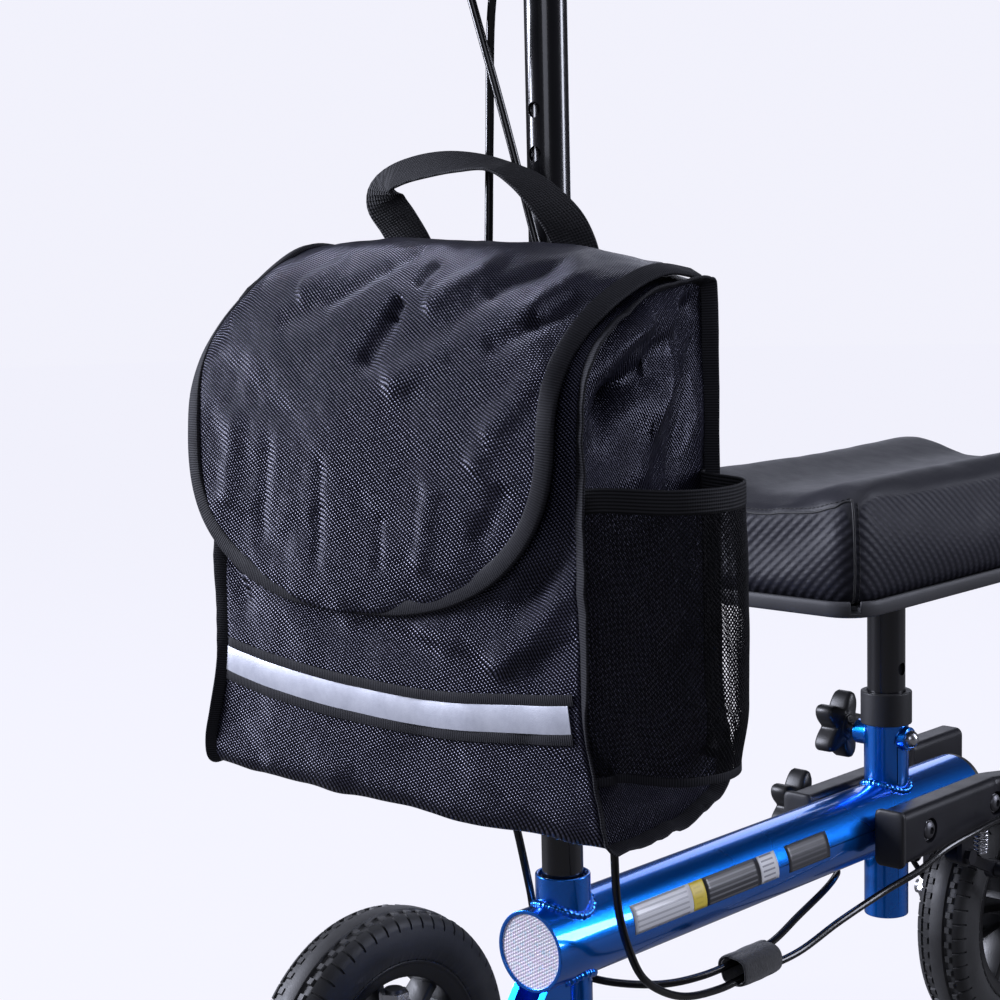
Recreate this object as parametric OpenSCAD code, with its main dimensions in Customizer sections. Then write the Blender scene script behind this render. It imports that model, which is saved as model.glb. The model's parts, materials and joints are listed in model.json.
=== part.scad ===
// Three-wheeled knee scooter with a steered front axle, a folding steering column,
// a height-adjustable knee cushion, a braked rear wheel and a bag on the column.
// Millimetres. +X is forward, +Y the rider's left, +Z up; the tyres stand on Z = 0.
// Modules work from the point where the head tube crosses the main tube.

/* [Frame] */
// Height of the main tube's axis above the ground
tube_z = 218; // [216:1:221]
// Outer diameter of the main tube
tube_d = 50.8; // [50:0.2:51.2]
// Distance from the head tube back to the seat tube
seat_x = 360; // [357:1:362]
// Length of main tube in front of the head tube's axis
tube_front = 31.6; // [30:0.2:34]
// Length of main tube behind the head tube's axis
tube_back = 450; // [444:1:454]

/* [Wheels] */
// Outer radius of every tyre
wheel_r = 105; // [104:0.5:106]
// Width of every tyre
tyre_w = 46; // [44:1:46]
// Half the distance between the front wheels' middles
track_half = 148; // [148:1:152]
// Distance from the head tube back to the rear axle
rear_axle_x = 532; // [530:1:536]

/* [Column] */
// Diameter of the steerer and of the upper stem tube
stem_d = 25.4; // [25:0.1:25.6]
// Height of the fold hinge's pin above the main tube's axis
fold_z = 262.2; // [262.2:0.1:266]
// Height of the handlebar above the main tube's axis
bar_z = 692; // [680:1:720]
// Length of the handlebar
bar_w = 530; // [520:2:560]

/* [Knee cushion] */
// Length of the cushion
cushion_l = 336; // [320:2:340]
// Width of the cushion
cushion_w = 176; // [170:2:180]
// Height of the cushion's tray above the main tube's axis
tray_z = 177; // [175:1:180]
// Height of the cushion's top above the main tube's axis
cushion_top = 261; // [250:1:262]

/* [Bag] */
// Width of the bag across the column
bag_w = 304; // [300:2:308]
// Front-to-back depth of the bag
bag_t = 108; // [106:1:110]
// Height of the bag's bottom above the main tube's axis
bag_low = 117; // [110:1:120]
// Height of the bag's rim above the main tube's axis
bag_high = 418; // [414:1:420]

/* [Hidden] */
$fn = 64;

tube_r = tube_d / 2;
stem_r = stem_d / 2;
run = 0.05;                  // radial clearance of a running fit
gap = 0.3;                   // clearance between neighbours that move apart
axle_z = wheel_r - tube_z;
front_axle_x = 17;
kingpin_x = 35;
kingpin_y = 115;
sleeve_top = -60;            // top of each kingpin sleeve
sleeve_low = -98;            // bottom of each kingpin sleeve
beam_r = 14;
beam_z = -78;
head_r = 17;
head_high = 42;
head_low = -84;
bearing_r = 14.8;
steer_arm = 45;              // pitman arm and knuckle arm length
rod_left_z = -113.5;
rod_right_z = -105;
seat_tube_r = 16;
seat_tube_high = 76;
seat_tube_low = -75.4;
post_r = 13.72;
hole_pitch = 25.4;
seat_lock_z = 58;
arm_in = 28;                 // inner face of each rear arm
arm_w = 22;
arm_h = 38;
arm_front = 307;
bend_x = 434;                // where each rear arm starts to splay
splay = 23.4;                // how far each rear arm splays outward
bolt_x = [339.5, 431];       // cross bolts through the rear arms
bolt_r = 4;
leg_x = 16;                  // half the width of a rear leg plate
leg_in = 58;
leg_t = 8;
pivot_x = 402;               // brake arm pivot
pivot_z = -35;
brake_end_x = 453;
brake_end_z = -58;
spring_x = 432;
spring_y = 36.5;
hub_r = 20;
hub_w = 41;
drum_r = 36;
rim_r = 70;
hinge_x = -26;               // fold pin behind the column's axis
block_x = [-17, 20];
block_y = 20;
sleeve_r = 15.9;
sleeve_high = 396;
stem_bottom = 345;
stem_lock_z = 374;
bar_r = 11.1;
grip_r = 16;
grip_in = 145;
lever_x = 24;
lever_y = 125;
bag_back = 34;
bag_front = bag_back + bag_t;
bag_mid = [bag_back + bag_t / 2, 0];
flap_front = bag_front + 6;
flap_hinge_x = 60;
flap_y = [-148, 140];
skin = 3;                    // thickness of the bag's walls
bottle_r = 39;
bottle_at = [88, 156];
pocket_low = 147;
pocket_high = 290;
x_mid = (flap_front - rear_axle_x - wheel_r) / 2;

// Routes of the two brake cables, from a lever's barrel to the rear stop
left_route = [
    [28, -103, 690], [31, -88, 686], [34, -68, 668], [34, -48, 628],
    [34, -27, 565], [31, -4, 490], [27, 13, 425], [24, 27, 370], [24, 42, 300],
    [24, 52, 210], [22, 58, 120], [20, 58, 71], [8, 50, 33], [-8, 45, 0],
    [-28, 42, -26], [-66, 38, -47], [-110, 34, -56], [-150, 33, -56],
    [-196, 36, -54], [-240, 40, -43], [-287, 45, -33], [-320, 52, -25],
    [-350, 56, -15], [-385, 59, -10], [-419, 60, -8], [-434, 63, -15],
    [-444, 64, -26]
];
right_route = [
    [28, 103, 690], [31, 88, 687], [34, 66, 676], [34, 34, 652], [32, 4, 612],
    [28, -16, 564], [22, -26, 490], [22, -29, 423], [22, -33, 350],
    [23, -38, 290], [22, -40, 200], [12, -38, 110], [0, -35, 55],
    [-6, -33, 24], [-12, -33, 0], [-22, -26, -26], [-42, -8, -40],
    [-78, 10, -49], [-112, 21, -50], [-150, 26, -47], [-190, 20, -48],
    [-240, 6, -46], [-290, -6, -42], [-322, -18, -41], [-346, -34, -44],
    [-375, -48, -38], [-400, -58, -22], [-419, -60, -10], [-434, -63, -15],
    [-444, -64, -26]
];

// ---------------------------------------------------------------- helpers

module place() translate([-x_mid, 0, tube_z]) children();
module rod_x(r, a, b) translate([a, 0, 0]) rotate([0, 90, 0]) cylinder(r = r, h = b - a);
module rod_y(r, a, b) translate([0, a, 0]) rotate([-90, 0, 0]) cylinder(r = r, h = b - a);
module rod_z(r, a, b) translate([0, 0, a]) cylinder(r = r, h = b - a);
module hex_y(r, a, b) translate([0, a, 0]) rotate([-90, 0, 0]) cylinder(r = r, h = b - a, $fn = 6);
module hex_z(r, a, b) translate([0, 0, a]) cylinder(r = r, h = b - a, $fn = 6);

// A box given by its lowest and highest corners
module span(a, b) translate(a) cube(b - a);

// The left side as drawn, or its mirror image on the right
module side(s) mirror([0, s < 0 ? 1 : 0, 0]) children();

// Rectangle with round corners, centred
module round_rect(l, w, r) {
    square([l - 2 * r, w], center = true);
    square([l, w - 2 * r], center = true);
    for (x = [-1, 1], y = [-1, 1])
        translate([x * (l / 2 - r), y * (w / 2 - r)]) circle(r);
}

// Five-lobed hand knob round the Y axis, open towards the scooter
module star_knob(y0, y1) {
    core = 12;
    reach = 19.5;
    tip = 6;
    difference() {
        union() {
            translate([0, y1, 0]) rotate([90, 0, 0]) linear_extrude(y1 - y0) {
                circle(core);
                for (k = [0:4]) rotate(k * 72 + 18) {
                    translate([reach, 0]) circle(tip);
                    polygon([[0, -10], [reach, -tip], [reach, tip], [0, 10]]);
                }
            }
            rod_y(9, y1, y1 + 5);
        }
        rod_y(bolt_r + run, y1 - 14, y1 + 6);
    }
}

// Points of a smooth curve through the route, and the tube swept along them
function curve_at(p, i, t) = let (
        n = len(p) - 1,
        a = p[max(i - 1, 0)], b = p[i], c = p[i + 1], d = p[min(i + 2, n)]
    ) 0.5 * (2 * b + (c - a) * t + (2 * a - 5 * b + 4 * c - d) * t * t
             + (3 * b - a - 3 * c + d) * t * t * t);
function smooth(p, steps) = [
    for (i = [0:len(p) - 2], k = [0:steps - 1]) curve_at(p, i, k / steps),
    p[len(p) - 1]
];
function unit(v) = v / norm(v);
function heading(p, i) = unit(p[min(i + 1, len(p) - 1)] - p[max(i - 1, 0)]);
function carried(prev, t) = unit(prev - (prev * t) * t);
function frames(p, i, u) = i == len(p) ? [] :
    let (t = heading(p, i), v = carried(u, t)) concat([[t, v]], frames(p, i + 1, v));
module sweep_tube(route, r, steps) {
    sides = 8;
    p = smooth(route, steps);
    f = frames(p, 0, cross(heading(p, 0), [0, 0, 1]));
    n = len(p);
    points = [for (i = [0:n - 1], k = [0:sides - 1])
        p[i] + r * (cos(k * 360 / sides) * f[i][1]
                    + sin(k * 360 / sides) * cross(f[i][0], f[i][1]))];
    walls = [for (i = [0:n - 2], k = [0:sides - 1]) let (
            a = i * sides + k, b = i * sides + (k + 1) % sides
        ) each [[a, b, a + sides], [b, b + sides, a + sides]]];
    caps = [[for (k = [sides - 1:-1:0]) k],
            [for (k = [0:sides - 1]) (n - 1) * sides + k]];
    polyhedron(points, concat(walls, caps), convexity = 10);
}

// ------------------------------------------------------------------ frame

module main_tube() color("royalblue") place() difference() {
    rod_x(tube_r, -tube_back, tube_front);
    rod_x(tube_r - 2.4, -tube_back - 1, tube_front + 1);
    rod_z(head_r, -60, 60);
    translate([-seat_x, 0, 0]) rod_z(seat_tube_r, -60, 60);
    for (x = bolt_x) translate([-x, 0, 0]) rod_y(bolt_r, -60, 60);
}

module head_tube() color("royalblue") place() difference() {
    rod_z(head_r, head_low, head_high);
    rod_z(bearing_r, head_low - 1, head_high + 1);
}

module headset_bearings() color("dimgray") place()
    for (z = [head_low, head_high - 15]) difference() {
        rod_z(bearing_r, z + 1, z + 12);
        rod_z(stem_r + run, z, z + 13);
    }

module seat_tube() color("royalblue") place() translate([-seat_x, 0, 0]) difference() {
    union() {
        rod_z(seat_tube_r, seat_tube_low, seat_tube_high);
        translate([0, 0, seat_lock_z]) {
            rod_y(9, -24, 0);
            rod_y(8.5, 0, 20);
        }
    }
    rod_z(post_r + gap, seat_tube_low - 1, seat_tube_high + 1);
    translate([0, 0, seat_lock_z]) rod_y(bolt_r + run, -25, 0);
    translate([0, 0, seat_lock_z]) rod_y(bolt_r, 0, 21);
}

module seat_collar() color("black") place() translate([-seat_x, 0, 0]) difference() {
    rod_z(18.5, 67.8, 91.6);
    rod_z(seat_tube_r, 67, seat_tube_high);
    rod_z(post_r + 0.1, 67, 92);
    translate([0, 0, seat_lock_z]) rod_y(9, -30, 0);
    translate([0, 0, seat_lock_z]) rod_y(8.5, 0, 30);
}

module tube_reflector() color("silver") place() {
    rod_x(tube_r - 2.4, tube_front - 8, tube_front - 1);
}

module tube_end_cap() color("black") place() {
    rod_x(tube_r - 2.4, -tube_back, -tube_back + 12);
    rod_x(tube_r - 0.4, -tube_back - 4, -tube_back);
}

// Front cross beam with a kingpin sleeve at each end, and its two gussets
module axle_beam() color("royalblue") place() {
    difference() {
        union() {
            translate([kingpin_x, 0, beam_z]) rod_y(beam_r, -kingpin_y, kingpin_y);
            for (s = [1, -1]) translate([kingpin_x, s * kingpin_y, 0])
                rod_z(13, sleeve_low, sleeve_top);
        }
        for (s = [1, -1]) translate([kingpin_x, s * kingpin_y, 0])
            rod_z(8, sleeve_low - 1, sleeve_top + 1);
        translate([kingpin_x, 0, beam_z]) rod_y(beam_r - 2.4, 14 - kingpin_y, kingpin_y - 14);
    }
    for (y = [-11, 11]) translate([0, y, 0]) difference() {
        rotate([90, 0, 0]) linear_extrude(5, center = true)
            polygon([[8, beam_z - 6], [kingpin_x, beam_z - 6], [kingpin_x + 6, -36],
                     [28, -18], [8, -18]]);
        translate([0, -y, 0]) {
            rod_x(tube_r, -60, 60);
            rod_z(head_r, -120, 60);
            translate([kingpin_x, 0, beam_z]) rod_y(beam_r, -60, 60);
        }
    }
}

module kingpin_bushes() color("goldenrod") place()
    for (s = [1, -1], z = [sleeve_low, sleeve_top - 13])
        translate([kingpin_x, s * kingpin_y, 0]) difference() {
            rod_z(8, z, z + 13);
            rod_z(6 + run, z - 1, z + 14);
        }

// ------------------------------------------------------------- rear arms

function arm_plan(t) = [
    [-arm_front, arm_in + t], [-bend_x - 2, arm_in + t],
    [-bend_x - 46, arm_in + splay + t], [-rear_axle_x - 20, arm_in + splay + t],
    [-rear_axle_x - 20, arm_in + splay + arm_w - t],
    [-bend_x - 41, arm_in + splay + arm_w - t], [-bend_x + 3, arm_in + arm_w - t],
    [-arm_front, arm_in + arm_w - t]
];

module rear_arm(s) color([0.08, 0.08, 0.09]) place() side(s) difference() {
    union() {
        translate([0, 0, -arm_h / 2]) linear_extrude(arm_h) polygon(arm_plan(0));
        span([-rear_axle_x - leg_x, leg_in, axle_z],
             [-rear_axle_x + leg_x, leg_in + leg_t, 0]);
        translate([-rear_axle_x, 0, axle_z]) rod_y(leg_x, leg_in, leg_in + leg_t);
    }
    span([-bend_x + 10, arm_in + 2, 2 - arm_h / 2],
         [1 - arm_front, arm_in + arm_w - 2, arm_h / 2 - 2]);
    for (x = bolt_x) translate([-x, 0, 0]) {
        rod_y(bolt_r, 0, 60);
        rod_y(9, arm_in + arm_w - 5, 60);
    }
    translate([-rear_axle_x, 0, axle_z]) rod_y(6, 50, 80);
}
module rear_arm_left() rear_arm(1);
module rear_arm_right() rear_arm(-1);

module arm_end_caps() color("black") place() for (s = [1, -1]) side(s) {
    translate([0, arm_in + arm_w / 2, 0]) {
        span([-arm_front, -12, -20.5], [4 - arm_front, 12, 20.5]);
        span([-arm_front - 12, -8.9, -16.9], [-arm_front, 8.9, 16.9]);
    }
}

module arm_spacers() color("royalblue") place() for (s = [1, -1], x = bolt_x) side(s)
    translate([-x, 0, 0]) difference() {
        rod_y(11, 14, arm_in);
        translate([x, 0, 0]) rod_x(tube_r, -600, 0);
        rod_y(bolt_r, 0, 40);
    }

// Cross bolts with their heads, and the domed end of the seat lock's pin
module cross_bolts() color("silver") place() {
    for (x = bolt_x) translate([-x, 0, 0]) {
        rod_y(bolt_r, x == bolt_x[0] ? -78 : -46, 47);
        rod_y(7, 45, 48.4);
    }
    translate([-bolt_x[1], 0, 0]) rod_y(7, -48.4, -45);
    translate([-seat_x, 0, seat_lock_z]) {
        rod_y(bolt_r, post_r + 1, 20);
        translate([0, 20, 0]) intersection() {
            sphere(6.5);
            rod_y(7, 0, 8);
        }
    }
}

module rear_axle() color("silver") place() translate([-rear_axle_x, 0, axle_z])
    difference() {
        union() {
            rod_y(6, -80, 80);
            for (s = [1, -1]) side(s) {
                hex_y(10, leg_in + leg_t, leg_in + leg_t + 9);
                rod_y(9, 34.5, leg_in);
                rod_y(11, 12, 21.5);
            }
        }
        for (s = [1, -1]) side(s) rod_y(3, 70, 81);
    }

// -------------------------------------------------------------- rear brake

module brake_bands() color("gray") place() for (s = [1, -1]) side(s)
    translate([-rear_axle_x, 0, axle_z]) {
        difference() {
            union() {
                rod_y(drum_r + 4, 25, 33);
                rotate([0, -25, 0]) span([drum_r + 2, 26, -3], [drum_r + 14, 44, 3]);
                span([-6, 25, drum_r + 2], [6, 33, drum_r + 11]);
                translate([0, 0, drum_r + 6]) rod_y(4, 30, leg_in);
            }
            rod_y(drum_r + 1, 20, 40);
            rotate([0, -25, 0]) span([drum_r - 2, 20, 3.5], [drum_r + 12, 40, 9]);
        }
    }

// Pivot brackets under the rear arms with their bolts, and the cable stops
module brake_brackets() color("dimgray") place() for (s = [1, -1]) side(s) {
    translate([-pivot_x, 0, pivot_z]) {
        difference() {
            union() {
                span([-8, 39, 0], [8, 43, -pivot_z - arm_h / 2]);
                rod_y(8, 39, 43);
            }
            rod_y(3, 30, 50);
        }
        rod_y(3, 27, 44);
        hex_y(6, 43, 47.5);
        rod_y(6, 27, 30.6);
    }
    translate([-452, 0, 0]) span([-5, 56, -40], [5, 59.5, -arm_h / 2]);
    translate([-444, 64, -26]) rotate([0, -142, 8]) difference() {
        rod_z(4.5, 0, 14);
        rod_z(1.2, -1, 15);
    }
}

module brake_spring(s) color("silver") place() side(s)
    translate([-spring_x, spring_y, 0]) difference() {
        rod_z(6, -40.8, -arm_h / 2);
        rod_z(4, -42, 0);
    }
module brake_spring_left() brake_spring(1);
module brake_spring_right() brake_spring(-1);

// Crank on the bracket's bolt, with the push rod that closes the band
module brake_arm(s) color("black") place() side(s) {
    crank = [pivot_x - brake_end_x, brake_end_z - pivot_z];
    translate([-pivot_x, 38, pivot_z]) rotate([90, 0, 0]) linear_extrude(7) difference() {
        union() {
            circle(7);
            translate(crank) circle(7);
            rotate(atan2(crank[1], crank[0])) translate([0, -4]) square([norm(crank), 8]);
        }
        circle(3 + run);
    }
    translate([-brake_end_x, 0, brake_end_z]) {
        rod_y(5.5, 38.2, 44);
        hex_y(5, 44, 47);
        translate([0, 41.2, 0]) rotate([0, -138, 0]) rod_z(2.2, 0, 37);
    }
}
module brake_arm_left() brake_arm(1);
module brake_arm_right() brake_arm(-1);

module brake_cable_left() color([0.05, 0.05, 0.05]) place()
    sweep_tube(left_route, 2.5, 3);
module brake_cable_right() color([0.05, 0.05, 0.05]) place()
    sweep_tube(right_route, 2.5, 3);

module cable_wrap() color([0.1, 0.1, 0.1]) place()
    translate([-152, 30, -51.5]) rotate([0, 90, 0])
        linear_extrude(44, center = true) round_rect(22, 22, 6);

// ------------------------------------------------------------------- seat

module seat_post() color([0.09, 0.09, 0.1]) place() translate([-seat_x, 0, 0]) {
    difference() {
        rod_z(post_r, -40, tray_z - 4);
        rod_z(post_r - 2, -41, tray_z - 5);
        for (k = [1:3]) translate([0, 0, seat_lock_z + (k - 1) * hole_pitch])
            rod_y(4.6, -20, 20);
    }
    difference() {
        span([-45, -30, tray_z - 4], [45, 30, tray_z]);
        for (x = [-35, 35], y = [-21, 21]) translate([x, y, 0])
            rod_z(2.6, tray_z - 5, tray_z + 1);
    }
}

module cushion_tray() color([0.16, 0.16, 0.17]) place()
    translate([-seat_x, 0, tray_z]) difference() {
        linear_extrude(11) round_rect(cushion_l, cushion_w, 26);
        translate([0, 0, 6]) linear_extrude(6) round_rect(cushion_l - 8, cushion_w - 8, 22);
        for (x = [-35, 35], y = [-21, 21]) translate([x, y, 0]) rod_z(2.6, -1, 4);
    }

module tray_screws() color("silver") place()
    for (x = [-35, 35], y = [-21, 21]) translate([x - seat_x, y, 0]) {
        rod_z(2.6, tray_z - 4, tray_z + 4);
        rod_z(5, tray_z - 7, tray_z - 4);
    }

module knee_cushion() color([0.13, 0.13, 0.14]) place()
    translate([-seat_x, 0, tray_z + 6]) {
        linear_extrude(5) round_rect(cushion_l - 8.6, cushion_w - 8.6, 21);
        translate([0, 0, 5]) linear_extrude(cushion_top - tray_z - 11)
            round_rect(cushion_l - 2, cushion_w - 2, 25);
    }

module seat_knob() color("black") place() translate([-seat_x, 0, seat_lock_z]) {
    star_knob(-58, -36);
    rod_y(bolt_r, -50, -post_r - gap);
}

module fork_knob() color("black") place() translate([-bolt_x[0], 0, 0])
    difference() {
        star_knob(-84, -62);
        rod_y(bolt_r + run, -80, -50);
    }

// ---------------------------------------------------------- front steering

module steerer() color([0.06, 0.06, 0.07]) place() {
    difference() {
        rod_z(stem_r, -90, fold_z - 0.2);
        rod_z(stem_r - 2.4, -91, fold_z - 16);
    }
    difference() {
        translate([0, 0, -96]) linear_extrude(6) {
            circle(15);
            polygon([[0, -15], [-steer_arm, -9], [-steer_arm, 9], [0, 15]]);
            translate([-steer_arm, 0]) circle(9);
        }
        translate([-steer_arm, 0, 0]) rod_z(4, -100, -90);
    }
    translate([-steer_arm, 0, 0]) {
        rod_z(4, -124, -90);
        rod_z(7, -100.6, -96);
        hex_z(7, -124, -118.2);
    }
}

// Kingpin, knuckle block and steering arm in one forging, with the rod's stud
module knuckle(s) color("dimgray") place() side(s) {
    rod = s > 0 ? rod_left_z : rod_right_z;
    difference() {
        union() {
            span([5, 103, -128], [48, 123, sleeve_low - 0.4]);
            translate([kingpin_x, kingpin_y, 0]) rod_z(6, -100, sleeve_top + 12);
            translate([0, 0, -126]) linear_extrude(8) {
                translate([kingpin_x - steer_arm, kingpin_y]) circle(8);
                polygon([[kingpin_x - steer_arm, kingpin_y - 8], [10, kingpin_y - 8],
                         [10, kingpin_y + 8], [kingpin_x - steer_arm, kingpin_y + 8]]);
            }
            translate([kingpin_x - steer_arm, kingpin_y, 0]) {
                rod_z(4, -120, rod + 9);
                rod_z(7, -118, rod - 4.3);
            }
        }
        translate([front_axle_x, 0, axle_z]) rod_y(6, 90, 130);
    }
    translate([kingpin_x - steer_arm, kingpin_y, 0]) difference() {
        hex_z(7, rod + 4.3, rod + 9);
        rod_z(4, rod, rod + 12);
    }
}
module knuckle_left() knuckle(1);
module knuckle_right() knuckle(-1);

// Stub axle with its two wheel bearings and nut, and the kingpin's washer and nut
module front_axle(s) color("silver") place() side(s) {
    translate([front_axle_x, 0, axle_z]) {
        rod_y(6, 103, track_half + 34);
        hex_y(10, 97, 103);
        rod_y(9, 123, track_half - 22.3);
        for (d = [-21.5, 12]) translate([0, track_half + d, 0]) rod_y(11, 0, 9.5);
        hex_y(9, track_half + 23, track_half + 31);
    }
    translate([kingpin_x, kingpin_y, 0]) difference() {
        union() {
            rod_z(11, sleeve_top + 0.4, sleeve_top + 2.4);
            hex_z(10, sleeve_top + 2.4, sleeve_top + 10);
        }
        rod_z(6, sleeve_top - 1, sleeve_top + 20);
    }
}
module front_axle_left() front_axle(1);
module front_axle_right() front_axle(-1);

// Rod from the pitman stud to a knuckle's stud, with an eye at each end
module tie_rod(s) color("dimgray") place() side(s) {
    z = s > 0 ? rod_left_z : rod_right_z;
    inner = [-steer_arm, 0];
    outer = [kingpin_x - steer_arm, kingpin_y];
    translate([0, 0, z - 4]) difference() {
        union() {
            for (p = [inner, outer]) translate(p) cylinder(r = 8, h = 8);
            translate(inner) rotate(atan2(outer[1] - inner[1], outer[0] - inner[0]))
                translate([0, 0, 4]) rod_x(3.8, 0, norm(outer - inner));
        }
        translate(inner) rod_z(4.5, -1, 9);
        translate(outer) rod_z(4 + run, -1, 9);
    }
}
module tie_rod_left() tie_rod(1);
module tie_rod_right() tie_rod(-1);

// ----------------------------------------------------------------- wheels

module tyre() color([0.1, 0.1, 0.1]) rotate([90, 0, 0]) rotate_extrude() intersection() {
    translate([wheel_r - 24.6, 0]) circle(25.6);
    translate([rim_r, -tyre_w / 2]) square([wheel_r - rim_r, tyre_w]);
}

// Rim ring, hub and five twin spokes
module rim() color([0.12, 0.12, 0.13]) difference() {
    union() {
        difference() {
            rod_y(rim_r, -20, 20);
            rod_y(rim_r - 8, -21, 21);
        }
        rod_y(hub_r, -hub_w / 2, hub_w / 2);
        for (k = [0:4], z = [-7, 7]) rotate([0, k * 72, 0])
            span([hub_r - 6, -9, z - 3], [rim_r - 4, 9, z + 3]);
    }
    rod_y(11 + run, -30, 30);
}

module at_front(s) place() translate([front_axle_x, s * track_half, axle_z]) children();
module at_rear() place() translate([-rear_axle_x, 0, axle_z]) children();
module tyre_front_left() at_front(1) tyre();
module tyre_front_right() at_front(-1) tyre();
module tyre_rear() at_rear() tyre();
module rim_front_left() at_front(1) rim();
module rim_front_right() at_front(-1) rim();
module rim_rear() at_rear() rim();

module brake_drums() color("gray") at_rear() for (s = [1, -1]) side(s) difference() {
    rod_y(drum_r, 22, 34);
    rod_y(drum_r - 5, 26, 35);
    rod_y(11.5, 20, 35);
}

// -------------------------------------------------------- folding column

module hinge_ears(y0, y1, z0, z1) {
    translate([hinge_x, 0, fold_z]) rod_y(7, y0, y1);
    span([hinge_x, y0, z0], [block_x[0] + 1, y1, z1]);
}

// Lower hinge block, its pin, and the latch's pivot screw
module fold_hinge_lower() color([0.1, 0.1, 0.11]) place() {
    difference() {
        union() {
            span([block_x[0], -block_y, fold_z - 26], [block_x[1], block_y, fold_z - 0.2]);
            for (s = [1, -1]) side(s) hinge_ears(9, 18, fold_z - 20, fold_z);
        }
        rod_z(stem_r, fold_z - 30, fold_z);
        translate([hinge_x, 0, fold_z]) rod_y(4, -30, 30);
    }
    translate([hinge_x, 0, fold_z]) {
        rod_y(4, -20, 20);
        for (s = [1, -1]) side(s) rod_y(6, 18, 21);
    }
    for (x = [-7, 13]) translate([x, 0, 0])
        span([-2, block_y, fold_z - 22], [2, 31, fold_z - 10]);
    translate([3, 27, fold_z - 16]) rod_x(2.5, -12, 14);
}

// Upper hinge block with the outer stem tube that the upper stem slides in
module stem_sleeve() color([0.06, 0.06, 0.07]) place() {
    difference() {
        union() {
            span([block_x[0], -block_y, fold_z + 0.2], [block_x[1], block_y, fold_z + 28]);
            hinge_ears(-8.7, 8.7, fold_z, fold_z + 18);
            rod_z(sleeve_r, fold_z + 28, sleeve_high);
            translate([0, 0, stem_lock_z]) rod_x(8, -26, 0);
        }
        rod_z(stem_r + gap, fold_z + 30, sleeve_high + 1);
        translate([hinge_x, 0, fold_z]) rod_y(4 + run, -30, 30);
        translate([0, 0, stem_lock_z]) rod_x(bolt_r + run, -30, 0);
    }
    translate([3, 0, fold_z + 14]) rod_y(3, block_y, 24);
}

module sleeve_collar() color("black") place() difference() {
    rod_z(19, 384, 404);
    rod_z(sleeve_r, 383, sleeve_high);
    rod_z(stem_r + 0.1, 383, 405);
}

// Side latch: a plate that swings out over the catch on the upper block
module fold_latch() color("silver") place() translate([3, 27, fold_z - 16])
    difference() {
        union() {
            rod_x(5, -6.5, 6.5);
            span([-6.5, -2.5, 0], [6.5, 2.5, 52]);
            span([-6.5, -2.5, 48], [6.5, 8, 52]);
        }
        rod_x(2.5 + run, -10, 10);
        translate([0, 0, 30]) rod_y(5, -10, 10);
    }

module stem_knob() color("black") place() translate([0, 0, stem_lock_z]) rotate([0, 0, -90]) {
    star_knob(-60, -38);
    rod_y(bolt_r, -52, -stem_r - gap);
}

// ------------------------------------------------------------- handlebar

// Upper stem tube, coped and welded under the bar tube
module handlebar() color([0.06, 0.06, 0.07]) place() {
    difference() {
        rod_z(stem_r, stem_bottom, bar_z - 2);
        rod_z(stem_r - 2, stem_bottom - 1, bar_z - bar_r - 4);
        translate([0, 0, bar_z]) rod_y(bar_r + run, -20, 20);
        for (k = [0:5]) translate([0, 0, stem_lock_z + k * hole_pitch]) rod_x(4.5, -20, 20);
    }
    translate([0, 0, bar_z]) difference() {
        rod_y(bar_r, -bar_w / 2, bar_w / 2);
        rod_y(bar_r - 1.6, -bar_w, bar_w);
    }
}

module grips() color([0.09, 0.09, 0.09]) place() for (s = [1, -1]) side(s)
    translate([0, 0, bar_z]) difference() {
        rod_y(grip_r, grip_in, bar_w / 2 - 2);
        rod_y(bar_r, grip_in - 1, bar_w);
    }

// Clamps that carry the brake levers, with their pivot pins and barrels
module brake_perches() color([0.09, 0.09, 0.09]) place() for (s = [1, -1]) side(s)
    translate([0, 0, bar_z]) {
        difference() {
            union() {
                rod_y(15, 116, 138);
                span([0, 117, -11], [32, 133, 11]);
            }
            rod_y(bar_r, 110, 140);
            span([14, 110, -4.4], [40, 140, 4.4]);
        }
        translate([lever_x, lever_y, 0]) rod_z(3, -12, 12);
        translate([28, 0, -2]) difference() {
            rod_y(4.2, 104, 117);
            rod_y(1.2, 103, 118);
        }
    }

module brake_lever(s) color("silver") place() side(s)
    translate([lever_x, lever_y, bar_z - 4]) difference() {
        linear_extrude(8) {
            circle(7);
            polygon([[-5, 5], [6, -4], [20, 10], [32, 40], [37, 106], [24, 106],
                     [20, 50], [10, 26]]);
            translate([30.5, 106]) circle(6.5);
        }
        rod_z(3 + run, -1, 9);
    }
module brake_lever_left() brake_lever(1);
module brake_lever_right() brake_lever(-1);

// ------------------------------------------------------------------- bag

module bag_body() color([0.13, 0.13, 0.16]) place() difference() {
    translate([bag_mid[0], bag_mid[1], bag_low]) linear_extrude(bag_high - bag_low)
        round_rect(bag_t, bag_w, 14);
    difference() {
        translate([bag_mid[0], 0, bag_low + skin]) linear_extrude(400)
            round_rect(bag_t - 2 * skin, bag_w - 2 * skin, 12);
        translate(bottle_at) rod_z(bottle_r + skin, pocket_low, 500);
        span([bag_back, -bag_w, bag_high - skin], [flap_hinge_x - 1, bag_w, 600]);
    }
    translate(bottle_at) rod_z(bottle_r, pocket_low + skin, 500);
}

module bottle_pocket() color([0.12, 0.12, 0.12]) place() intersection() {
    translate(bottle_at) difference() {
        rod_z(bottle_r + skin, pocket_low, pocket_high);
        rod_z(bottle_r, pocket_low + skin, pocket_high + 1);
    }
    span([0, bag_w / 2 + gap, 0], [300, 300, 400]);
}

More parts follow.
